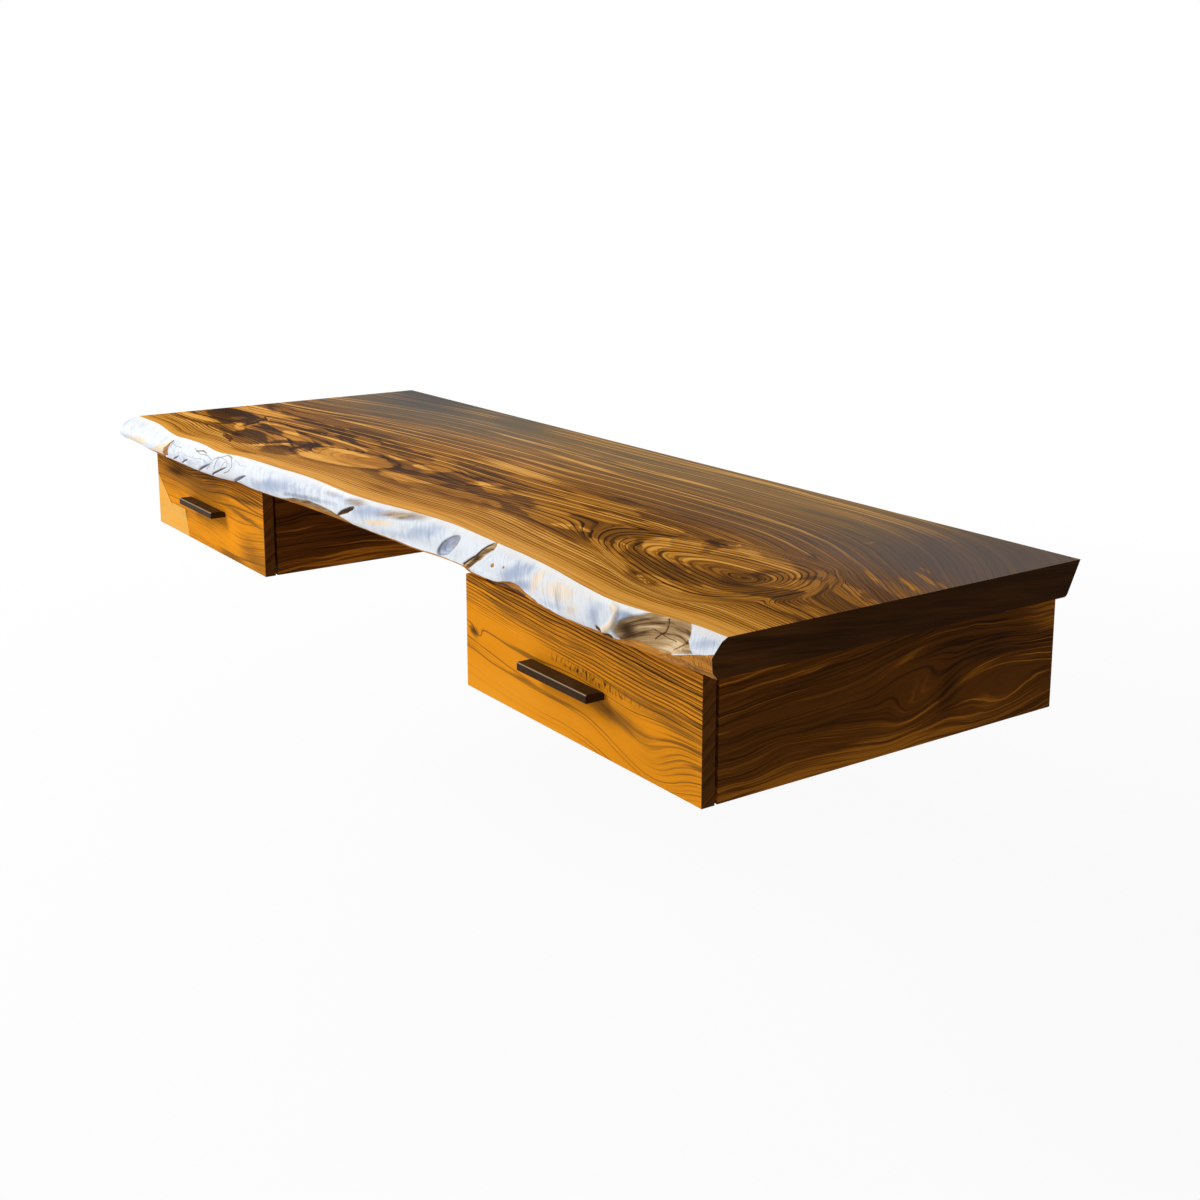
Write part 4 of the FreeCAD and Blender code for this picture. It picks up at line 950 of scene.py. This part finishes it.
# Below this line the edge is scooped out and brown: place along the slab and depth.
SCOOP_LINE = (
    (-300, 47), (-227, 45), (-176, 35), (-119, 30), (-52, 32.5), (-22, 37), (24, 44), (60, 47),
)


def along_line(points, value):
    """Height of a line of points at a place."""
    if value <= points[0][0]:
        return points[0][1]
    for (x0, y0), (x1, y1) in zip(points, points[1:]):
        if value <= x1:
            return y0 + (y1 - y0) * (value - x0) / (x1 - x0)
    return points[-1][1]


def oval_range(x, depth, mark):
    """How far a point is into an oval: 1 in the middle, 0 on its rim, negative outside."""
    along, below, half_length, half_width, turn = mark[:5]
    c, s = math.cos(math.radians(turn)), math.sin(math.radians(turn))
    dx, dz = x - along, below - depth
    return 1.0 - ((dx * c + dz * s) / half_length) ** 2 - ((dz * c - dx * s) / half_width) ** 2


def facet_depth(x, depth, a, b, c):
    """Depth of a facet at a point, or None outside it."""
    area = (b[1] - c[1]) * (a[0] - c[0]) + (c[0] - b[0]) * (a[1] - c[1])
    u = ((b[1] - c[1]) * (x - c[0]) + (c[0] - b[0]) * (depth - c[1])) / area
    v = ((c[1] - a[1]) * (x - c[0]) + (a[0] - c[0]) * (depth - c[1])) / area
    w = 1.0 - u - v
    return u * a[2] + v * b[2] + w * c[2] if min(u, v, w) >= 0 else None


def line_range(x, depth, points, half_width):
    """How near a point is to a line: 1 on it, 0 half_width away."""
    nearest = math.inf
    for (x0, y0), (x1, y1) in zip(points, points[1:]):
        dx, dy = x1 - x0, y1 - y0
        t = min(1.0, max(0.0, ((x - x0) * dx + (depth - y0) * dy) / (dx * dx + dy * dy)))
        nearest = min(nearest, math.hypot(x - x0 - t * dx, depth - y0 - t * dy))
    return 1.0 - nearest / half_width


def edge_point(x, level):
    """Distance from the wall and depth below the top of the live edge's plain surface, in
    millimetres. level runs from 0 at the top arris to 1 at the bottom one."""
    thick = (SLAB_HIGH.z - SLAB_LOW.z) / MM
    top, belly, bottom = (through([(s[0], s[k]) for s in LIVE_EDGE], x) for k in (1, 2, 3))
    shoulder = top + SHOULDER_SHARE * (belly - top)
    hip = belly + HIP_SHARE * (bottom - belly)
    depth = level * thick
    places = ((0, top), (SHOULDER_DROP, shoulder), (thick / 2, belly),
              (thick - SHOULDER_DROP, hip), (thick, bottom))
    flat = smooth(*END_START, x)
    return through(places, depth) * (1 - flat) + along_line(END_PROFILE, depth) * flat, depth


def edge_relief(x, depth):
    """Waves and features of the live edge in millimetres over its plain surface, and its tones."""
    place = Vector((x * MM, 0, depth * MM))

    def wave(fineness, offset=0):
        return noise.noise(place * fineness + Vector((offset, 0, 0)))

    # outlines are drawn a little shaky, but less so at the deep groove
    shake = Vector((wave(60), wave(60, 9))) * 1.6
    shake *= 1.0 - 0.9 * smooth(300, 325, x) * smooth(425, 405, x)
    waves = wave(9) * 1.0 + wave(26, 5) * 0.55 + wave(90) * 0.15
    below = depth - along_line(HEART_LINE, x) + shake.x * 0.4
    scoop = depth - along_line(SCOOP_LINE, x) + shake.x * 0.4
    x, depth = x + shake.x * 0.5, depth + shake.y * 0.5
    height, tones = 0.0, dict.fromkeys(TONES, 0.0)

    def stain(found, amount):
        for tone, strength in found.items():
            tones[tone] = max(tones[tone], strength * amount)

    for mark in BLUSHES:
        if abs(x - mark[0]) < 2 * mark[2]:
            stain(mark[5], math.exp(oval_range(x, depth, mark) - 1.0))
    for *corners, found in FACETS:
        sunk = facet_depth(x, depth, *corners)
        if sunk is not None:
            height -= sunk
            stain(found, 1.0)
    for mark in DENTS:
        inside = oval_range(x, depth, mark) if abs(x - mark[0]) < 1.3 * mark[2] else -1.0
        if inside > -0.2:
            height -= mark[5] * max(0.0, inside) ** mark[6]
            stain(mark[7], smooth(-0.08, 0.12, inside))
    for *mark, thickness, sunk, found in RINGS:
        if abs(x - mark[0]) < 1.3 * mark[2]:
            near = 1.0 - abs(oval_range(x, depth, mark)) * mark[3] / (2 * thickness)
            height -= sunk * smooth(0.0, 1.0, near)
            stain(found, smooth(0.0, 0.6, near))
    for points, half_width, sunk, found in GROOVES:
        if points[0][0] - 40 < x < points[-1][0] + 90:
            near = line_range(x, depth, points, half_width)
            if near > 0:
                height -= sunk * smooth(0.0, 1.0, near)
                stain(found, smooth(0.0, 0.6, near))
    height -= SCOOP_DEPTH * smooth(0.0, 9.0, scoop)
    # painted shade: the scoop is bare brown wood, darkened where the edge turns under
    stain({"bare": 0.9, "dark_lines_and_shade": 0.35}, smooth(-1.0, 2.5, scoop))
    height -= LEDGE_DEPTH * smooth(0.0, 3.0, below) * smooth(420, 450, x) * smooth(600, 550, x)
    stain({"heart": 1.0}, smooth(-0.7, 0.7, below))
    return waves, height, tones


class DESK_OT_slab(bpy.types.Operator):
    """Make the live-edge slab, in place of the plain one"""
    bl_idname = "desk.slab"
    bl_label = "Slab"

    def execute(self, context):
        settings = context.scene.desk_slab
        bm = bmesh.new()
        bmesh.ops.create_grid(bm, x_segments=settings.columns, y_segments=settings.rows, size=0.5)
        layers = {name: bm.verts.layers.float.new(name) for name in TONES}
        upper, lower = ([e for e in bm.edges if all(v.co.y * side > 0.5 - CLOSE for v in e.verts)]
                        for side in (1, -1))
        for face in bm.faces:
            face.material_index = 1
        for v in bm.verts:
            x = v.co.x * (SLAB_HIGH.x - SLAB_LOW.x) / MM
            level = 0.5 - v.co.y
            reach, depth = edge_point(x, level)
            waves, height, tones = edge_relief(x, depth)
            hold = smooth(0.0, 0.1, level) * smooth(0.0, 0.05, 1.0 - level)  # 0 on both arrises
            low = edge_point(x, max(0.0, level - SLOPE_STEP))
            high = edge_point(x, min(1.0, level + SLOPE_STEP))
            lean = Vector((high[1] - low[1], -(high[0] - low[0]) * hold)).normalized()
            height = height * hold + waves * settings.ripple / MM * (0.3 + 0.7 * hold)
            v.co = Vector((x * MM, -(reach + lean.x * height) * MM,
                           SLAB_HIGH.z - (depth + lean.y * height) * MM))
            for name, layer in layers.items():
                v[layer] = tones[name]
        self.draw_out(bm, upper, 0.0, SLAB_HIGH.z, 0)
        wall_low = self.draw_out(bm, lower, -settings.rear_lean, SLAB_LOW.z, 0)
        self.draw_out(bm, wall_low, 0.0, SLAB_HIGH.z, 2)
        wall = [v for v in bm.verts if v.co.y > -MM]
        bmesh.ops.remove_doubles(bm, verts=wall, dist=CLOSE / 10)
        rear = [e for e in bm.edges if all(abs(v.co.y + settings.rear_lean) < CLOSE for v in e.verts)
                and abs(e.verts[0].co.x - e.verts[1].co.x) > CLOSE]
        bmesh.ops.bevel(bm, geom=rear, offset=settings.rear_round, offset_type="OFFSET", segments=3,
                        profile=0.5, affect="EDGES", material=-1, clamp_overlap=True)
        for end in (SLAB_LOW.x, SLAB_HIGH.x):
            loop = [e for e in bm.edges
                    if e.is_boundary and all(abs(v.co.x - end) < CLOSE for v in e.verts)]
            for face in bmesh.ops.contextual_create(bm, geom=loop)["faces"]:
                face.material_index = 2
        bmesh.ops.recalc_face_normals(bm, faces=bm.faces)
        for face in bm.faces:
            face.smooth = True
        for edge in bm.edges:
            slots = {face.material_index for face in edge.link_faces}
            if len(slots) > 1 or edge.calc_face_angle(0.0) > SHARP:
                edge.smooth = False
        mesh = bpy.data.meshes.new("live_edge_slab")
        bm.to_mesh(mesh)
        bm.free()
        slab = bpy.data.objects.new("live_edge_slab", mesh)
        context.scene.collection.objects.link(slab)
        for make in (figured_wood, live_edge_wood, end_grain_wood):
            mesh.materials.append(make(settings))
        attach(slab, "desk")
        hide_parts("slab_top")
        return {"FINISHED"}

    def draw_out(self, bm, edges, y, z, slot):
        """Pulls a row of edges out to a new line at y and z, and returns the new row."""
        made = bmesh.ops.extrude_edge_only(bm, edges=edges)["geom"]
        for v in made:
            if isinstance(v, bmesh.types.BMVert):
                v.co.y, v.co.z = y, z
        for face in made:
            if isinstance(face, bmesh.types.BMFace):
                face.material_index = slot
        return [e for e in made if isinstance(e, bmesh.types.BMEdge)
                and all(max(abs(v.co.y - y), abs(v.co.z - z)) < CLOSE for v in e.verts)]


def paint(material, names):
    """Gives carried-over nodes a material, on both sides of the desk where names hold SIDE."""
    for name in names:
        for side in ("left", "right") if "SIDE" in name else ("",):
            for slot in NODES[name.replace("SIDE", side)].material_slots:
                slot.material = material


class DESK_OT_drawer_fronts(bpy.types.Operator):
    """Finish the drawer fronts"""
    bl_idname = "desk.drawer_fronts"
    bl_label = "Drawer fronts"

    def execute(self, context):
        paint(front_wood(context.scene.desk_wood), ("SIDE_drawer_front",))
        return {"FINISHED"}


class DESK_OT_handles(bpy.types.Operator):
    """Finish the handles"""
    bl_idname = "desk.handles"
    bl_label = "Handles"

    def execute(self, context):
        paint(bronze(context.scene.desk_metal), ("SIDE_handle",))
        return {"FINISHED"}


class DESK_OT_cases(bpy.types.Operator):
    """Finish the drawer cases"""
    bl_idname = "desk.cases"
    bl_label = "Cases"

    def execute(self, context):
        wood = context.scene.desk_wood
        paint(case_wood(wood), ("SIDE_case_inner_side", "SIDE_case_outer_side"))
        paint(plain_wood("case_panel_wood", wood.panel_main, 0),
              ("SIDE_case_bottom", "SIDE_case_back", "SIDE_case_front_rail", "SIDE_case_rear_rail"))
        paint(plywood(wood), ("SIDE_wall_cleat", "SIDE_hanging_cleat"))
        paint(plain_wood("dowel_beech", wood.beech, 0, gap=0.004), ("case_dowels",))
        paint(rubber(context.scene.desk_metal), ("SIDE_case_bumpers",))
        return {"FINISHED"}


class DESK_OT_drawer_boxes(bpy.types.Operator):
    """Finish the drawer boxes"""
    bl_idname = "desk.drawer_boxes"
    bl_label = "Drawer boxes"

    def execute(self, context):
        main = context.scene.desk_wood.box_main
        paint(plain_wood("drawer_box_wood", main, 0, contrast=0.3, rough=0.42),
              ("SIDE_drawer_box_front", "SIDE_drawer_box_back", "SIDE_drawer_box_bottom"))
        paint(plain_wood("drawer_box_side_wood", main, 1, contrast=0.3, rough=0.42),
              ("SIDE_drawer_box_inner_side", "SIDE_drawer_box_outer_side"))
        return {"FINISHED"}


class DESK_OT_hardware(bpy.types.Operator):
    """Finish the slides, ball cages and screws"""
    bl_idname = "desk.hardware"
    bl_label = "Hardware"

    def execute(self, context):
        metal = context.scene.desk_metal
        members = [f"SIDE_{where}_slide_{member}_member" for where in ("inner", "outer")
                   for member in ("case", "middle", "drawer")]
        paint(plated("slide_zinc", metal.zinc, 0.34), members)
        paint(plated("cage_steel", metal.steel, 0.22),
              ("SIDE_case_stage_ball_cages", "SIDE_drawer_stage_ball_cages"))
        paint(plated("screw_steel", metal.screw, 0.36, 300.0),
              ("SIDE_handle_screws", "SIDE_drawer_front_screws", "SIDE_drawer_slide_screws",
               "slab_screws", "hanging_cleat_screws", "case_slide_screws"))
        return {"FINISHED"}


# ---- stage --------------------------------------------------------------------------------
class DESK_OT_stage(bpy.types.Operator):
    """Make the floor, the lights and the camera"""
    bl_idname = "desk.stage"
    bl_label = "Stage"

    def execute(self, context):
        stage = context.scene.desk_stage
        self.make_camera(context, stage)
        self.make_floor(context, stage)
        self.make_world(context, stage)
        low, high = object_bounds()
        left_end = Vector((-0.7, 0.0, high.z))
        self.make_light(context, "key_light", stage.key_place, (low + high) / 2, stage.key_size,
                        stage.key_power, stage.key_tint)
        self.make_light(context, "window_light", stage.window_place, left_end, stage.window_size,
                        stage.window_power, stage.window_tint)
        context.scene.view_settings.view_transform = "Standard"
        return {"FINISHED"}

    def make_camera(self, context, stage):
        data = bpy.data.cameras.new("camera")
        data.lens = stage.lens
        data.sensor_width = 36.0
        data.shift_y = stage.camera_rise
        data.clip_end = 200.0
        camera = bpy.data.objects.new("camera", data)
        camera.location = stage.camera_place
        camera.rotation_euler = stage.camera_turn
        context.scene.collection.objects.link(camera)
        context.scene.camera = camera

    def make_floor(self, context, stage):
        bm = bmesh.new()
        bmesh.ops.create_grid(bm, x_segments=8, y_segments=8, size=stage.floor_size / 2)
        bmesh.ops.translate(bm, verts=bm.verts, vec=(0, 0, stage.floor_level))
        mesh = bpy.data.meshes.new("floor")
        bm.to_mesh(mesh)
        bm.free()
        floor = bpy.data.objects.new("floor", mesh)
        context.scene.collection.objects.link(floor)
        g = Graph("pale_floor")
        matt, glow = g.add("ShaderNodeBsdfDiffuse"), g.add("ShaderNodeEmission")
        g.feed(matt.inputs["Color"], (stage.floor_tone,) * 3)
        far = g.steps(g.math("SQRT", g.x * g.x + g.y * g.y), 1.0, 3.5, stage.floor_glow, 1.0)
        mesh.materials.append(g.shown_or_lit(matt, glow, far))
        floor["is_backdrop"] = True

    def make_world(self, context, stage):
        g = Graph("studio", "World")
        around, backdrop = g.add("ShaderNodeBackground"), g.add("ShaderNodeBackground")
        for sky, strength in ((around, stage.fill), (backdrop, 1.0)):
            g.feed(sky.inputs["Color"], (1.0, 1.0, 1.0))
            g.feed(sky.inputs["Strength"], strength)
        context.scene.world = g.shown_or_lit(around, backdrop, 1.0)

    def make_light(self, context, name, place, aim, size, power, tint):
        data = bpy.data.lights.new(name, "AREA")
        data.shape = "SQUARE"
        data.size = size
        data.energy = power
        data.color = tint
        light = bpy.data.objects.new(name, data)
        light.location = place
        light.rotation_euler = (Vector(aim) - Vector(place)).to_track_quat("-Z", "Y").to_euler()
        light.visible_camera = False
        context.scene.collection.objects.link(light)


# ---- panel and registration ---------------------------------------------------------------
PIECES = (DESK_OT_stage, DESK_OT_slab, DESK_OT_drawer_fronts, DESK_OT_handles, DESK_OT_cases,
          DESK_OT_drawer_boxes, DESK_OT_hardware)
SETTINGS = {"desk_slab": SlabSettings, "desk_wood": WoodSettings, "desk_metal": MetalSettings,
            "desk_stage": StageSettings}


class DESK_PT_panel(bpy.types.Panel):
    """The desk's pieces and settings"""
    bl_idname = "DESK_PT_panel"
    bl_label = "Floating Wall Desk"
    bl_space_type = "VIEW_3D"
    bl_region_type = "UI"
    bl_category = "Desk"

    def draw(self, context):
        for piece in PIECES:
            self.layout.operator(piece.bl_idname, text=piece.bl_label)
        for name, group in SETTINGS.items():
            box = self.layout.box()
            for key in group.__annotations__:
                box.prop(getattr(context.scene, name), key)


def register():
    for kind in (*SETTINGS.values(), *PIECES, DESK_PT_panel):
        bpy.utils.register_class(kind)
    for name, group in SETTINGS.items():
        setattr(bpy.types.Scene, name, PointerProperty(type=group))


def unregister():
    for name in SETTINGS:
        delattr(bpy.types.Scene, name)
    for kind in reversed((*SETTINGS.values(), *PIECES, DESK_PT_panel)):
        bpy.utils.unregister_class(kind)


def main():
    register()
    for piece in PIECES:
        group, name = piece.bl_idname.split(".")
        getattr(getattr(bpy.ops, group), name)()
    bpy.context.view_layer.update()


if __name__ == "__main__":
    main()
